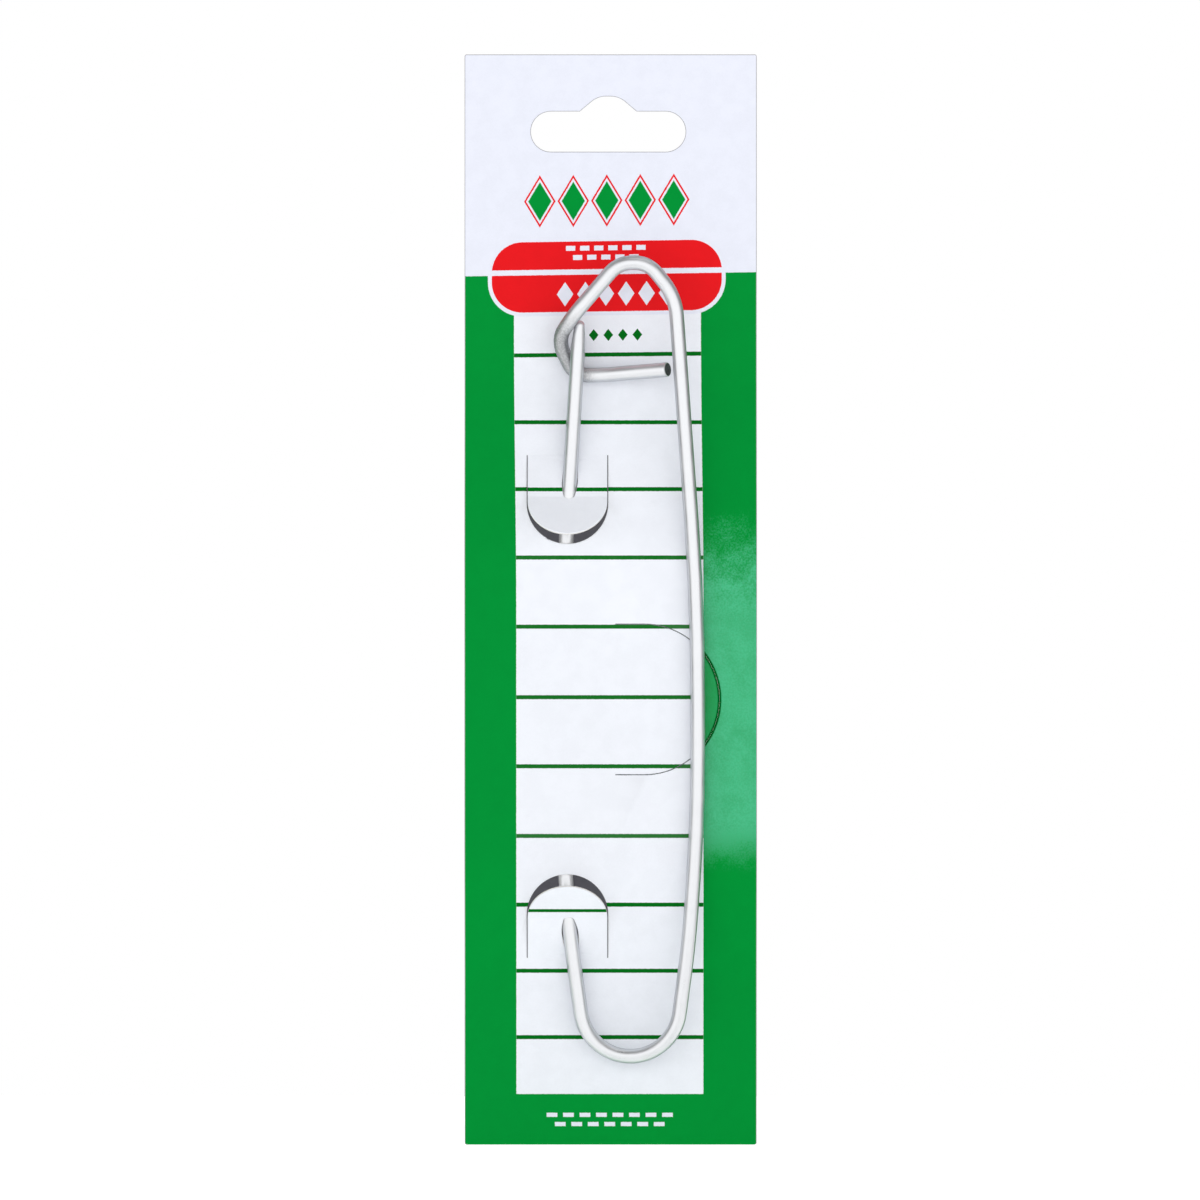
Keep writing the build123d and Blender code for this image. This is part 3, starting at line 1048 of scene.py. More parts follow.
@dataclass(frozen=True)
class StitchHolder:
    """The bent wire: pin, spring bend, plain leg and catch."""

    wire_radius: float = 1.5
    bend_radius: float = 10.4
    arc_share: float = 0.45
    turn: float = math.radians(9.2129)
    lean: float = math.radians(1.2607)
    bend_middle: tuple[float, float, float] = (4.5, -4.563, -180.1)
    nose_radius: float = 1.1
    nose_start: float = math.radians(8)
    nose_rings: int = 9
    taper_length: float = 6.2
    taper_rings: int = 8
    taper_power: float = 1.3
    tip: tuple[float, float] = (-10.5, 141.097)
    pin_corners: tuple[tuple[float, float], ...] = (
        (-10.957, 133.811), (-15.2, 66.096), (-13.1, 18.36), (-10.298, -1.456),
    )
    leg_corners: tuple[tuple[float, float], ...] = (
        (10.308, -1.383), (12.3, 13.464), (14.1, 39.321), (14.1, 81.855), (11.135, 122.4),
    )
    catch_corners: tuple[tuple[float, float, float], ...] = (
        (11.135, 0.0, 122.4), (9.4, 0.0, 146.115), (3.8, -0.4, 153.0), (-2.2, -1.2, 153.0),
        (-11.606, -2.75, 141.907), (-15.306, 0.8, 137.011), (-12.107, 3.3, 129.821),
        (-6.5, 4.209, 129.821), (7.8, 2.628, 131.044),
    )
    end_steps: tuple[tuple[float, float], ...] = ((0.09, 0.985), (0.07, 0.955), (0.04, 0.93))
    end_round: float = 0.2
    end_slant: float = math.radians(13)
    end_inset: float = 0.35
    end_dish: float = 0.06
    end_margin: float = 0.05
    passage_clearance: float = 0.04
    slides: tuple[float, ...] = (-2.0, 0.0, 1.5)

    def place(self, travel: float = 0.0) -> Matrix:
        """The holder's place in the model's frame.

        Args:
            travel: How far it has slid along its pin.

        Returns:
            Matrix from millimetres in the holder's plane to metres in the frame.
        """
        stand = Matrix.Translation(Vector(self.bend_middle))
        lean = Matrix.Rotation(self.lean, 4, "X")
        turn = Matrix.Rotation(-self.turn, 4, "Z")
        slide = Matrix.Translation((0.0, 0.0, travel))
        return Matrix.Scale(MM, 4) @ stand @ lean @ turn @ slide

    def flat(self, corners: Sequence[tuple[float, float]]) -> list[Vector]:
        """Corners that lie in the holder's plane, as points."""
        return [Vector((across, 0.0, height)) for across, height in corners]

    def bend_ends(self) -> list[Vector]:
        """Ends of the spring bend, at the pin and at the plain leg."""
        return self.flat((self.pin_corners[-1], self.leg_corners[0]))

    def feed_pin(self, bender: WireBender) -> None:
        """Feeds the round nose, the taper behind it and the pin down to the spring bend.

        Args:
            bender: The wire, at the tip.
        """
        radius, first = self.nose_radius, self.nose_start
        bender.point += bender.heading * radius * (1 - math.cos(first))
        bender.start_piece(radius * math.sin(first), sharp=False)
        rise = math.pi / 2 - first
        turns = [first + rise * step / self.nose_rings for step in range(self.nose_rings + 1)]
        for before, after in zip(turns, turns[1:]):
            length = radius * (math.cos(before) - math.cos(after))
            bender.taper(length, math.sin(after) / math.sin(before))
        grown = self.wire_radius - radius
        shares = [step / self.taper_rings for step in range(self.taper_rings + 1)]
        widths = [
            radius + grown * math.sin(math.pi / 2 * share) ** self.taper_power for share in shares
        ]
        for before, after in zip(widths, widths[1:]):
            bender.taper(self.taper_length / self.taper_rings, after / before)
        bender.follow(self.flat(self.pin_corners), self.arc_share)

    def feed_spring(self, bender: WireBender) -> None:
        """Feeds the half-round spring bend.

        Args:
            bender: The wire, at the end of the pin.
        """
        bender.start_piece(self.wire_radius)
        start, end = self.bend_ends()
        bender.bend(-start, self.bend_radius, start.angle(end))

    def feed_leg(self, bender: WireBender) -> None:
        """Feeds the plain leg on from the end of the spring bend."""
        bender.start_piece(self.wire_radius)
        bender.follow(self.flat(self.leg_corners), self.arc_share)

    def feed_catch(self, bender: WireBender) -> None:
        """Feeds the crown, the turn round the pin and the tail with its sheared, dished end.

        Args:
            bender: The wire, at the end of the plain leg.
        """
        bender.start_piece(self.wire_radius)
        corners = [Vector(corner) for corner in self.catch_corners]
        last = (corners[-1] - corners[-2]).normalized()
        corners[-1] -= last * self.end_round
        bender.follow(corners, self.arc_share)
        for length, share in self.end_steps:
            bender.taper(length, share)
        face = bender.cap(WireFace.SHEARED)
        inset = bmesh.ops.inset_region(bender.mesh, faces=[face], thickness=self.end_inset)
        for rim in inset["faces"]:
            rim.material_index = WireFace.SHEARED.value
        bmesh.ops.translate(bender.mesh, vec=-last * self.end_dish, verts=face.verts)
        slanted = (bender.travelled - self.end_round - self.end_margin) * MM
        for vert in bender.mesh.verts:
            if vert[bender.layer].z > slanted:
                front = self.wire_radius - (vert.co - bender.point).y
                vert.co -= last * front * math.tan(self.end_slant)

    def passage(self, travel: float, name: str) -> Object:
        """Rod that cuts the room for the pin out of a tongue.

        Args:
            travel: How far the holder has slid.
            name: Name of the cutter.

        Returns:
            The cutter, with the board's core on its faces.
        """
        corners = self.flat(self.pin_corners)
        bender = WireBender(corners[0], corners[1] - corners[0], Vector((0.0, 1.0, 0.0)))
        bender.start_piece(self.wire_radius + self.passage_clearance)
        bender.follow(corners, self.arc_share)
        cutter = bender.finish_piece(name, self.place(travel), [])
        for face in cutter.data.polygons:
            face.material_index = BoardFace.CORE.value
        return cutter

    def build(self) -> None:
        """Builds the four pieces and dresses them; the pin, the plain leg and the catch go on their
        bodies, the spring bend stays where it is.
        """
        finishes = [SatinWire().build(), CutWire().build()]
        tip, base = self.flat((self.tip, self.pin_corners[0]))
        bender = WireBender(tip, base - tip, Vector((0.0, -1.0, 0.0)))
        pieces = []
        for name, feed in (
            ("wire_pin", self.feed_pin),
            ("wire_spring_bend", self.feed_spring),
            ("wire_plain_leg", self.feed_leg),
            ("wire_catch", self.feed_catch),
        ):
            feed(bender)
            pieces.append(bender.finish_piece(name, self.place(), finishes))
        pin, spring, leg, catch = pieces
        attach(pin, Body.PIN.value)
        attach(leg, Body.FRAME.value)
        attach(catch, Body.FRAME.value)
        inset = Vector((self.wire_radius, 0.0, 0.0))
        ends = self.bend_ends()
        self.place() @ (ends[0] + inset)
        self.place() @ (ends[1] - inset)
        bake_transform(spring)
        for piece, node in zip(pieces, ("pin_arm", "spring_bend", "spine", "catch_hook")):
            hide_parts(node)
            log.info("%s stands for %s", piece.name, node)


@dataclass(frozen=True)
class Stretch:
    """Part of a side profile: where it starts, its slope there and the radius of its bend."""

    run: float
    depth: float
    angle: float
    bend: float = 0.0


@dataclass(frozen=True)
class SideProfile:
    """Side view of a bent sheet: corners of run and depth, each rounded by a radius."""

    corners: tuple[tuple[float, float, float], ...]

    def stretches(self) -> list[Stretch]:
        """Straight stretches and arcs, in order.

        Returns:
            The stretches.
        """
        points = self.corners
        slopes = [
            math.atan2(after[1] - before[1], after[0] - before[0])
            for before, after in zip(points, points[1:])
        ]
        made = [Stretch(points[0][0], points[0][1], slopes[0])]
        for (run, depth, radius), slope_in, slope_out in zip(points[1:], slopes, slopes[1:]):
            reach = radius * math.tan(abs(slope_out - slope_in) / 2)
            bend = math.copysign(radius, slope_out - slope_in)
            for slope, ahead, turn in ((slope_in, -reach, bend), (slope_out, reach, 0.0)):
                start = (run + ahead * math.cos(slope), depth + ahead * math.sin(slope))
                made.append(Stretch(*start, slope, turn))
        return made

    def at_run(self, run: float) -> tuple[float, float]:
        """Depth and slope at a run.

        Args:
            run: Distance along the profile as seen from the front.

        Returns:
            Depth and slope angle.
        """
        made = self.stretches()
        here = [part for part in made if part.run <= run] or made[:1]
        part = here[-1]
        if not part.bend:
            return part.depth + math.tan(part.angle) * (run - part.run), part.angle
        angle = math.asin(math.sin(part.angle) + (run - part.run) / part.bend)
        return part.depth + part.bend * (math.cos(part.angle) - math.cos(angle)), angle

    def at_length(self, length: float) -> tuple[float, float]:
        """Run and depth at a length along the sheet.

        Args:
            length: Distance along the sheet from its start.

        Returns:
            Run, and the depth there.
        """
        made = self.stretches()
        left = length
        for part, following in zip(made, made[1:]):
            if part.bend:
                whole = part.bend * (following.angle - part.angle)
            else:
                whole = (following.run - part.run) / math.cos(part.angle)
            if left <= whole:
                if part.bend:
                    angle = part.angle + left / part.bend
                    run = part.run + part.bend * (math.sin(angle) - math.sin(part.angle))
                else:
                    run = part.run + left * math.cos(part.angle)
                return run, self.at_run(run)[0]
            left -= whole
        last = made[-1]
        return last.run + left * math.cos(last.angle), last.depth + left * math.sin(last.angle)

    def rows(self, step: float) -> list[float]:
        """Runs at which the sheet needs a line of points to bend smoothly.

        Args:
            step: Distance between the lines on an arc.

        Returns:
            The runs.
        """
        made = self.stretches()
        found = []
        for part, following in zip(made, made[1:]):
            if part.bend:
                count = max(2, math.ceil((following.run - part.run) / step))
                width = (following.run - part.run) / count
                found += [part.run + width * index for index in range(count + 1)]
        return found


@dataclass(frozen=True)
class Join:
    """Line along which one piece of board goes on in another."""

    left: float
    right: float
    low: float
    high: float
    reach: float = 0.05

    def holds(self, point: Vector) -> bool:
        """Whether a point of the flat sheet lies on the line, where the board isn't cut."""
        across = self.left - self.reach < point.x < self.right + self.reach
        return across and self.low - self.reach < point.z < self.high + self.reach


class BoardCutter:
    """Cuts a piece of board out flat: X across and Z up as printed, in millimetres."""

    ARC_STEP = 6.0
    RIM_WIDTH = 0.13
    RIM_DEPTH = 0.12
    SAME_POINT = 1e-3
    SAME_LINE = 1e-4
    FACING = 0.5

    def __init__(self, thickness: float) -> None:
        """Starts an empty sheet.

        Args:
            thickness: Thickness of the board.
        """
        self.thickness = thickness
        self.mesh: BMesh = bmesh.new()
        self.first: BMVert | None = None
        self.tip: BMVert | None = None

    def start(self, across: float, up: float) -> None:
        """Sets the knife down at a point."""
        self.first = self.tip = self.mesh.verts.new((across, -self.thickness / 2, up))

    def line(self, across: float, up: float) -> None:
        """Cuts straight to a point."""
        self.tip = bmesh.ops.extrude_vert_indiv(self.mesh, verts=[self.tip])["verts"][0]
        self.tip.co = (across, -self.thickness / 2, up)

    def arc(self, across: float, up: float, degrees: float) -> None:
        """Cuts an arc.

        Args:
            across: Place of its middle across.
            up: Place of its middle upwards.
            degrees: Its angle, anticlockwise as the print is read.
        """
        steps = max(2, round(abs(degrees) / self.ARC_STEP))
        made = bmesh.ops.spin(
            self.mesh, geom=[self.tip], cent=(across, -self.thickness / 2, up),
            axis=(0.0, -1.0, 0.0), angle=math.radians(degrees), steps=steps,
            use_duplicate=False,
        )
        self.tip = next(part for part in made["geom_last"] if isinstance(part, BMVert))

    def close(self) -> None:
        """Cuts back to where the knife was set down, or joins the ends where they meet."""
        ends = [self.tip, self.first]
        if (self.tip.co - self.first.co).length < self.SAME_POINT:
            bmesh.ops.pointmerge(self.mesh, verts=ends, merge_co=self.first.co)
        else:
            self.mesh.edges.new(ends)

    def fill(self, rows: list[float], joins: list[Join], columns: Sequence[float] = ()) -> None:
        """Fills the outlines, adds lines of points and gives the sheet its thickness.

        The die presses the rim back a little wherever it cuts, but not along a join.

        Args:
            rows: Heights of the lines of points.
            joins: Where the sheet goes on in the next piece.
            columns: Places across of upright lines of points.
        """
        bmesh.ops.triangle_fill(
            self.mesh, use_beauty=True, use_dissolve=False, edges=self.mesh.edges,
            normal=(0.0, -1.0, 0.0),
        )
        lines = [((0.0, 0.0, up), (0.0, 0.0, 1.0)) for up in rows]
        lines += [((across, 0.0, 0.0), (1.0, 0.0, 0.0)) for across in columns]
        for place, normal in lines:
            parts = [*self.mesh.verts, *self.mesh.edges, *self.mesh.faces]
            bmesh.ops.bisect_plane(
                self.mesh, geom=parts, dist=self.SAME_LINE, plane_co=place, plane_no=normal
            )
        bmesh.ops.inset_region(
            self.mesh, faces=self.mesh.faces[:], thickness=self.RIM_WIDTH, use_boundary=True,
            use_even_offset=True,
        )
        rim = {vert for edge in self.mesh.edges if edge.is_boundary for vert in edge.verts}
        cut = [vert for vert in rim if not any(join.holds(vert.co) for join in joins)]
        made = bmesh.ops.extrude_face_region(self.mesh, geom=list(self.mesh.faces))["geom"]
        verts = [part for part in made if isinstance(part, BMVert)]
        bmesh.ops.translate(self.mesh, vec=(0.0, self.thickness, 0.0), verts=verts)
        bmesh.ops.translate(self.mesh, vec=(0.0, self.RIM_DEPTH, 0.0), verts=cut)
        bmesh.ops.recalc_face_normals(self.mesh, faces=self.mesh.faces)

    def dress(self, across: float, up: float) -> None:
        """Gives each face its finish and the place of the print on it.

        Args:
            across: Place on the whole card of the cutter's zero across.
            up: Place on the whole card of the cutter's zero upwards.
        """
        layer = self.mesh.loops.layers.uv.new(PRINT_MAP)
        for face in self.mesh.faces:
            face.normal_update()
            finish = BoardFace.CORE
            if abs(face.normal.y) > self.FACING:
                finish = BoardFace.PRINTED if face.normal.y < 0 else BoardFace.BACK
            face.material_index = finish.value
            for loop in face.loops:
                place = loop.vert.co
                loop[layer].uv = ((place.x + across) * MM, (place.z + up) * MM)
        soften(self.mesh)

    def finish_piece(self, name: str, finishes: list[Material]) -> Object:
        """Turns the bent sheet into an object."""
        bmesh.ops.scale(self.mesh, vec=(MM, MM, MM), verts=self.mesh.verts)
        return new_object(name, new_mesh(name, self.mesh), finishes)


@dataclass(frozen=True)
class Tongue:
    """A flap that stands up from the card and carries the pin.

    Its heading is 1 where it points down the card from its root, and -1 where it points up.
    """

    name: str
    node: str
    root_drop: float
    heading: int
    slit: float
    print_shift: float
    profile: SideProfile


@dataclass(frozen=True)
class HangCard:
    """The die-cut board: bowed sheet, two tongues and the side flap."""

    left: float = -29.6
    right: float = 30.6
    top: float = 15.9
    bottom: float = -208.8
    corner_round: float = 0.4
    thickness: float = 0.45
    slit_gap: float = 0.2
    flap_gap: float = 0.015
    slot_length: float = 31.9
    slot_height: float = 8.3
    bump_half: float = 5.85
    bump_rise: float = 3.1
    bump_round: float = 4.6
    bump_flank: float = 40.0
    tongue_middle: float = -8.4
    tongue_radius: float = 8.4
    tongue_stretch: float = 0.3
    tongue_creases: int = 5
    flap_left: float = 1.4
    flap_drop: float = 117.0
    flap_radius: float = 15.5
    flap_neck: float = 6.0
    flap_creases: int = 6
    crease: float = 1.6
    row_step: float = 0.7
    slit_reach: float = 0.1
    tilted: tuple[float, float] = (-0.95, -0.5)
    same_point: float = 1e-7
    printed_rims: tuple[float, float, float] = (-20.0, 26.0, -50.0)
    bow: SideProfile = SideProfile(
        (
            (-16.0, 0.0, 0.0), (50.947, 0.0, 50.0), (86.163, 6.762, 28.0),
            (151.867, 5.300, 28.0), (173.568, 0.0, 24.0), (209.0, 0.0, 0.0),
        )
    )
    upper: Tongue = Tongue(
        "card_upper_tongue", "upper_tongue", 66.696, 1, 9.9, 0.45,
        SideProfile(((0.0, 3.024, 0.0), (8.65, 5.832, 1.0), (16.03, 10.999, 0.0))),
    )
    lower: Tongue = Tongue(
        "card_lower_tongue", "lower_tongue", 170.293, -1, 8.9, 0.0,
        SideProfile(((0.0, 0.80, 0.0), (8.25, 4.021, 1.0), (14.61, 9.264, 0.0))),
    )
    finishes: tuple[CoatedFace | PlainBoard, ...] = (
        CoatedFace(),
        PlainBoard(
            "board_back", ink(232, 231, 228), ink(214, 212, 207), (1.0, 1.0, 0.35), 300.0,
            0.86, 0.00003,
        ),
        PlainBoard(
            "board_cut_edge", ink(245, 244, 242), ink(214, 212, 208), (0.3, 1.0, 0.3), 1500.0,
            0.92, 0.00004,
        ),
        # grey of the pressed rim round the outline and slot: painted shade on the bevel
        PlainBoard(
            "board_rim_painted_shade", ink(184, 185, 190), ink(160, 161, 168), (1.0, 1.0, 1.0),
            900.0, 0.9, 0.00002,
        ),
    )

    def tongue_sides(self) -> tuple[float, float]:
        """Left and right side of the tongues."""
        return self.tongue_middle - self.tongue_radius, self.tongue_middle + self.tongue_radius

    def joins(self) -> list[Join]:
        """Roots of the tongues and the fold of the side flap, on the flat sheet.

        Returns:
            The three lines.
        """
        sides = self.tongue_sides()
        roots = [Join(*sides, -part.root_drop, -part.root_drop) for part in (self.upper, self.lower)]
        low, high = -self.flap_drop - self.flap_radius, -self.flap_drop + self.flap_radius
        return [*roots, Join(self.flap_left, self.flap_left, low, high)]

    def cut_outline(self, cutter: BoardCutter) -> None:
        """Cuts the card's outer edge with its barely rounded corners.

        Args:
            cutter: The card's sheet.
        """
        small = self.corner_round
        low, high = self.bottom + small, self.top - small
        near, far = self.left + small, self.right - small
        cutter.start(near, self.bottom)
        for across, up, round_across, round_up in (
            (far, self.bottom, far, low),
            (self.right, high, far, high),
            (near, self.top, near, high),
            (self.left, low, near, low),
        ):
            cutter.line(across, up)
            cutter.arc(round_across, round_up, 90.0)
        cutter.close()

    def cut_slot(self, cutter: BoardCutter) -> None:
        """Cuts the round-ended hang slot with its raised middle.

        Args:
            cutter: The card's sheet.
        """
        half, end = self.slot_height / 2, (self.slot_length - self.slot_height) / 2
        flank = math.radians(self.bump_flank)
        top = self.bump_half - self.bump_rise / math.tan(flank)
        reach = self.bump_round * math.tan(flank / 2)
        low = half + self.bump_rise - reach * math.sin(flank)
        side = top + reach * math.cos(flank)
        middle = half + self.bump_rise - self.bump_round
        cutter.start(-end, -half)
        cutter.line(end, -half)
        cutter.arc(end, 0.0, 180.0)
        cutter.line(self.bump_half, half)
        cutter.line(side, low)
        cutter.arc(top - reach, middle, self.bump_flank)
        cutter.line(reach - top, half + self.bump_rise)
        cutter.arc(reach - top, middle, self.bump_flank)
        cutter.line(-self.bump_half, half)
        cutter.line(-end, half)
        cutter.arc(-end, 0.0, 180.0)
        cutter.close()

    def cut_window(self, cutter: BoardCutter, tongue: Tongue) -> None:
        """Cuts the opening that a tongue leaves.

        Args:
            cutter: The card's sheet.
            tongue: The tongue.
        """
        root, (left, right) = -tongue.root_drop, self.tongue_sides()
        end = root - tongue.heading * tongue.slit
        cutter.start(left, root)
        cutter.line(left, end)
        cutter.arc(self.tongue_middle, end, 180.0 * tongue.heading)
        cutter.line(right, root)
        cutter.close()

    def cut_flap(self, cutter: BoardCutter, radius: float) -> None:
        """Cuts the outline of the side flap.

        Args:
            cutter: The card's sheet, or the flap's.
            radius: Radius of its round side.
        """
        middle, neck = -self.flap_drop, self.flap_left + self.flap_neck
        cutter.start(self.flap_left, middle - radius)
        cutter.line(neck, middle - radius)
        cutter.arc(neck, middle, 180.0)
        cutter.line(self.flap_left, middle + radius)
        cutter.close()

    def bow_sheet(self, cutter: BoardCutter) -> None:
        """Bends a flat sheet to the card's side profile.

        Args:
            cutter: The sheet.
        """
        for vert in cutter.mesh.verts:
            run, lift = -vert.co.z, -vert.co.y
            depth, angle = self.bow.at_run(run)
            vert.co.y = -(depth + lift * math.cos(angle))
            vert.co.z = -(run - lift * math.sin(angle))

    def shade_slit_walls(self, cutter: BoardCutter) -> None:
        """Gives the walls of the side flap's slit, which the die presses shut, the printed finish,
        so that the painted shade along the slit runs down them.

        Args:
            cutter: The flat sheet, or the flap.
        """
        for face in cutter.mesh.faces:
            middle = face.calc_center_median()
            aside = max(middle.x - self.flap_left - self.flap_neck, 0.0)
            away = abs(math.hypot(aside, middle.z + self.flap_drop) - self.flap_radius)
            wall = face.material_index == BoardFace.CORE.value and middle.x > self.flap_left
            if wall and away < self.slit_reach:
                face.material_index = BoardFace.PRINTED.value

    def build_sheet(self, finishes: list[Material]) -> Object:
        """Cuts and bows the main sheet.

        Args:
            finishes: Materials of the board.

        Returns:
            The sheet.
        """
        cutter = BoardCutter(self.thickness)
        self.cut_outline(cutter)
        self.cut_slot(cutter)
        self.cut_window(cutter, self.upper)
        self.cut_window(cutter, self.lower)
        self.cut_flap(cutter, self.flap_radius)
        cutter.fill([-run for run in self.bow.rows(self.row_step)], self.joins())
        cutter.dress(0.0, 0.0)
        left, right, top = self.printed_rims
        for face in cutter.mesh.faces:
            middle = face.calc_center_median()
            printed = left < middle.x < right and middle.z < top
            # Rims outside the printed bounds take the rim finish with its painted shade.
            if self.tilted[0] < face.normal.y < self.tilted[1] and not printed:
                face.material_index = BoardFace.RIM.value
        self.shade_slit_walls(cutter)
        self.bow_sheet(cutter)
        return cutter.finish_piece("card_sheet", finishes)

    def build_flap(self, finishes: list[Material]) -> Object:
        """Cuts the side flap.

        Args:
            finishes: Materials of the board.

        Returns:
            The flap.
        """
        cutter = BoardCutter(self.thickness)
        self.cut_flap(cutter, self.flap_radius - self.flap_gap)
        creases = [
            self.flap_left + self.crease * step / self.flap_creases
            for step in range(1, self.flap_creases + 1)
        ]
        cutter.fill([], self.joins(), creases)
        cutter.dress(0.0, 0.0)
        self.shade_slit_walls(cutter)
        self.bow_sheet(cutter)
        return cutter.finish_piece("card_side_flap", finishes)

    def build_tongue(
        self, tongue: Tongue, passages: list[Object], finishes: list[Material]
    ) -> Object:
        """Cuts a tongue, folds it up and opens the room for the pin in it.

        Args:
            tongue: The tongue.
            passages: Cutters of the pin's room.
            finishes: Materials of the board.

        Returns:
            The tongue.
        """
        cutter = BoardCutter(self.thickness)
        radius, away = self.tongue_radius - self.slit_gap, -tongue.heading
        end = away * (tongue.slit + self.tongue_stretch)
        cutter.start(-radius, 0.0)
        cutter.line(-radius, end)
        cutter.arc(0.0, end, 180.0 * tongue.heading)
        cutter.line(radius, 0.0)
        cutter.close()
        fold = tongue.profile.stretches()
        start = math.hypot(fold[1].run - fold[0].run, fold[1].depth - fold[0].depth)
        bent = fold[1].bend * (fold[2].angle - fold[1].angle)
        steps = self.tongue_creases
        creases = [away * (start + bent * step / steps) for step in range(steps + 1)]
        cutter.fill(creases, [Join(-radius, radius, 0.0, 0.0)])
        cutter.dress(self.tongue_middle, tongue.print_shift - tongue.root_drop)
        for vert in cutter.mesh.verts:
            lift = -vert.co.y
            run, depth = tongue.profile.at_length(away * vert.co.z)
            angle = tongue.profile.at_run(run)[1]
            run -= lift * math.sin(angle)
            depth += lift * math.cos(angle)
            vert.co = (vert.co.x + self.tongue_middle, -depth, -tongue.root_drop + away * run)
        return self.open_passages(cutter.finish_piece(tongue.name, finishes), passages)

    def open_passages(self, piece: Object, passages: list[Object]) -> Object:
        """Cuts the pin's room out of a tongue.

        Args:
            piece: The tongue.
            passages: The cutters.

        Returns:
            The same tongue, with its new mesh.
        """
        for passage in passages:
            cut = piece.modifiers.new(passage.name, "BOOLEAN")
            cut.operation = "DIFFERENCE"
            cut.solver = "EXACT"
            cut.object = passage
        graph = bpy.context.evaluated_depsgraph_get()
        mesh = bpy.data.meshes.new_from_object(piece.evaluated_get(graph), depsgraph=graph)
        piece.modifiers.clear()
        shape = bmesh.new()
        shape.from_mesh(mesh)
        bmesh.ops.remove_doubles(shape, verts=shape.verts, dist=self.same_point)
        soften(shape)
        shape.to_mesh(mesh)
        shape.free()
        mesh.name = piece.name
        piece.data = mesh
        return piece

    def build(self, holder: StitchHolder) -> None:
        """Builds the four pieces and dresses them; the sheet and the tongues go on the card's body,
        the side flap stays where it is.

        Args:
            holder: The wire that is threaded through the tongues.
        """
        finishes = [finish.build() for finish in self.finishes]
        passages = [
            holder.passage(travel, f"passage_{index}")
            for index, travel in enumerate(holder.slides)
        ]
        sheet = self.build_sheet(finishes)
        flap = self.build_flap(finishes)
        tongues = [
            self.build_tongue(tongue, passages, finishes) for tongue in (self.upper, self.lower)
        ]
        for passage in passages:
            bpy.data.objects.remove(passage)
        pieces = [sheet, flap, *tongues]
        nodes = ("display_card", "side_flap", self.upper.node, self.lower.node)
        for piece, node in zip(pieces, nodes):
            if piece is flap:
                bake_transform(piece)
            else:
                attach(piece, Body.CARD.value)
            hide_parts(node)
            log.info("%s stands for %s", piece.name, node)


@dataclass(frozen=True)
class Lamp:
    """A soft lamp: its place, its width and height, and its power."""

    name: str
    place: tuple[float, float, float]
    size: tuple[float, float]
    power: float


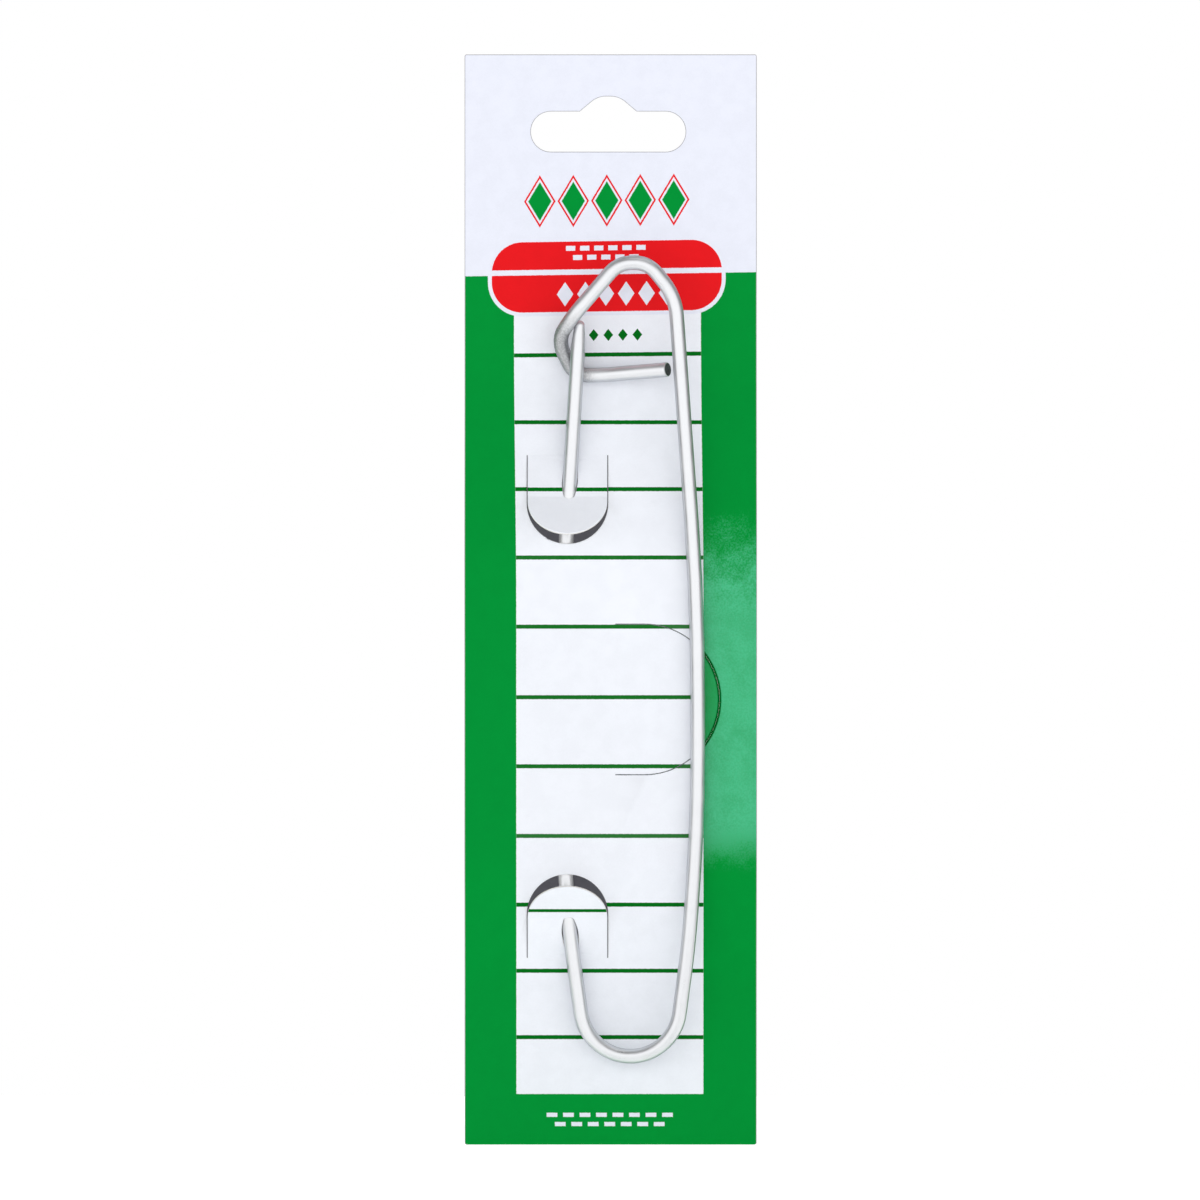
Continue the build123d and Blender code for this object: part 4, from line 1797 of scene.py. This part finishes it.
@dataclass(frozen=True)
class Studio:
    """Pale floor, a broad even light from the front and a level camera before the card."""

    picture: float = 1200.0
    scale: float = 0.206 * MM
    middle: tuple[float, float] = (-1.70, -96.54)
    lens: float = 600.0
    sensor: float = 36.0
    card_depth: float = 2.5
    floor_drop: float = 209.3
    floor_half: float = 0.42
    floor_colour: Colour = (0.92, 0.92, 0.92)
    floor_glow: float = 0.46
    floor_extra: float = 0.2
    ambient: float = 0.25
    tent: float = 1.138
    tent_front: tuple[float, float] = (-0.58, -0.15)
    tent_height: tuple[float, float] = (0.34, 0.74)
    # dark grey of the panels behind the windows: painted shade
    shade_colour: Colour = (0.12, 0.12, 0.14)
    shade_boxes: tuple[tuple[float, float, float, float], ...] = (
        (-24.0, 8.0, -93.0, -61.0), (-24.0, 8.0, -180.0, -148.0),
    )
    shade_depth: float = 0.5
    shade_turn: float = math.radians(-2)
    lamps: tuple[Lamp, ...] = (
        Lamp("top", (0.25, -0.35, 1.1), (0.9, 0.7), 1.0),
        Lamp("behind", (-0.3, 1.3, 0.45), (1.0, 0.8), 11.0),
    )

    def build_camera(self) -> None:
        """Sets the camera level in front of the card, as the photograph has it."""
        data = bpy.data.cameras.new("camera")
        data.lens, data.sensor_width = self.lens, self.sensor
        distance = self.picture * self.scale * self.lens / self.sensor
        camera = bpy.data.objects.new("camera", data)
        camera.location = (
            self.middle[0] * MM, -distance - self.card_depth * MM, self.middle[1] * MM
        )
        camera.rotation_euler = (math.pi / 2, 0.0, 0.0)
        bpy.context.scene.collection.objects.link(camera)
        bpy.context.scene.camera = camera

    def seen(self, graph: Graph) -> NodeSocket:
        """1 where the camera sees the surface itself or through glass, and 0 else."""
        paths = graph.add("LightPath").outputs
        return graph.math("MAXIMUM", paths["Is Camera Ray"], paths["Is Transmission Ray"])

    def build_world(self) -> None:
        """White for the camera, and else a wide softbox in front and dim light all round."""
        world = bpy.data.worlds.new("studio")
        graph = start_graph(world)
        seen = self.seen(graph)
        _, depth, height = graph.split(graph.add("TexCoord").outputs["Generated"])
        box = graph.times(
            graph.ramp(depth, *self.tent_front, 1.0, 0.0),
            graph.ramp(graph.math("ABSOLUTE", height), *self.tent_height, 1.0, 0.0),
        )
        light = graph.math("MULTIPLY_ADD", box, self.tent, self.ambient)
        dim = graph.times(light, graph.math("SUBTRACT", 1.0, seen))
        background = graph.add("Background")
        background.inputs["Color"].default_value = (1.0, 1.0, 1.0, 1.0)
        graph.feed(background.inputs["Strength"], graph.math("ADD", dim, seen))
        graph.show(background.outputs[0], "OutputWorld")
        bpy.context.scene.world = world

    def new_panel(self, name: str, place: Matrix, material: Material) -> Object:
        """Makes a flat square of half size 1 and puts it in place.

        Args:
            name: Name of the panel.
            place: Its place and size.
            material: Its material.

        Returns:
            The panel.
        """
        shape = bmesh.new()
        bmesh.ops.create_grid(shape, x_segments=1, y_segments=1, size=1.0, matrix=place)
        return new_object(name, new_mesh(name, shape), [material])

    def build_floor(self) -> None:
        """Lays the pale floor just under the card."""
        material = bpy.data.materials.new("floor_pale")
        graph = start_graph(material)
        matt = graph.add("BsdfDiffuse")
        matt.inputs["Color"].default_value = (*self.floor_colour, 1.0)
        glossy = graph.add("LightPath").outputs["Is Glossy Ray"]
        seen = graph.math("MAXIMUM", self.seen(graph), glossy)
        glow = graph.add("Emission")
        extra = graph.math("MULTIPLY_ADD", seen, self.floor_extra, self.floor_glow)
        graph.feed(glow.inputs["Strength"], extra)
        both = graph.add("AddShader")
        graph.feed(both.inputs[0], matt.outputs[0])
        graph.feed(both.inputs[1], glow.outputs[0])
        graph.show(both.outputs[0])
        lay = Matrix.Translation((0.0, 0.0, -self.floor_drop * MM))
        floor = self.new_panel("floor", lay @ Matrix.Scale(self.floor_half, 4), material)

    def build_shade(self) -> None:
        """Hangs dark grey panels, a painted shade that the two windows of the card are seen against.

        They show only to a camera in front, so that the card's back stays in view, and are turned
        a little, so that they don't show past its edge from the side.
        """
        material = bpy.data.materials.new("shade_grey")
        graph = start_graph(material)
        camera = graph.add("LightPath").outputs["Is Camera Ray"]
        behind = graph.add("NewGeometry").outputs["Backfacing"]
        matt = graph.add("BsdfDiffuse")
        matt.inputs["Color"].default_value = (*self.shade_colour, 1.0)
        both = graph.add("MixShader")
        graph.feed(both.inputs[0], graph.times(camera, graph.math("SUBTRACT", 1.0, behind)))
        graph.feed(both.inputs[1], graph.add("BsdfTransparent").outputs[0])
        graph.feed(both.inputs[2], matt.outputs[0])
        graph.show(both.outputs[0])
        turn = Matrix.Rotation(self.shade_turn, 4, "Z") @ Matrix.Rotation(math.pi / 2, 4, "X")
        for index, (left, right, low, high) in enumerate(self.shade_boxes):
            size = Matrix.Diagonal(((right - left) / 2 * MM, (high - low) / 2 * MM, 1.0, 1.0))
            middle = ((left + right) / 2 * MM, self.shade_depth * MM, (low + high) / 2 * MM)
            place = Matrix.Translation(middle) @ turn @ size
            self.new_panel(f"shade_{index}", place, material)

    def build_lamp(self, lamp: Lamp) -> None:
        """Hangs a soft lamp aimed at the middle of the card.

        Args:
            lamp: The lamp.
        """
        data = bpy.data.lights.new(lamp.name, "AREA")
        data.shape, data.size, data.size_y, data.energy = "RECTANGLE", *lamp.size, lamp.power
        hung = bpy.data.objects.new(lamp.name, data)
        hung.location = lamp.place
        aim = Vector((self.middle[0] * MM, 0.0, self.middle[1] * MM)) - Vector(lamp.place)
        hung.rotation_euler = aim.to_track_quat("-Z", "Y").to_euler()
        bpy.context.scene.collection.objects.link(hung)

    def build(self) -> None:
        """Builds the whole studio."""
        self.build_camera()
        self.build_world()
        self.build_floor()
        self.build_shade()
        for lamp in self.lamps:
            self.build_lamp(lamp)
        bpy.context.scene.view_settings.view_transform = "Standard"


def main() -> None:
    """Builds the studio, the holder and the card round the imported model."""
    logging.basicConfig(level=logging.INFO, format="%(name)s: %(message)s")
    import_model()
    Studio().build()
    holder = StitchHolder()
    holder.build()
    HangCard().build(holder)
    log.info("boxes written")


if __name__ == "__main__":
    main()
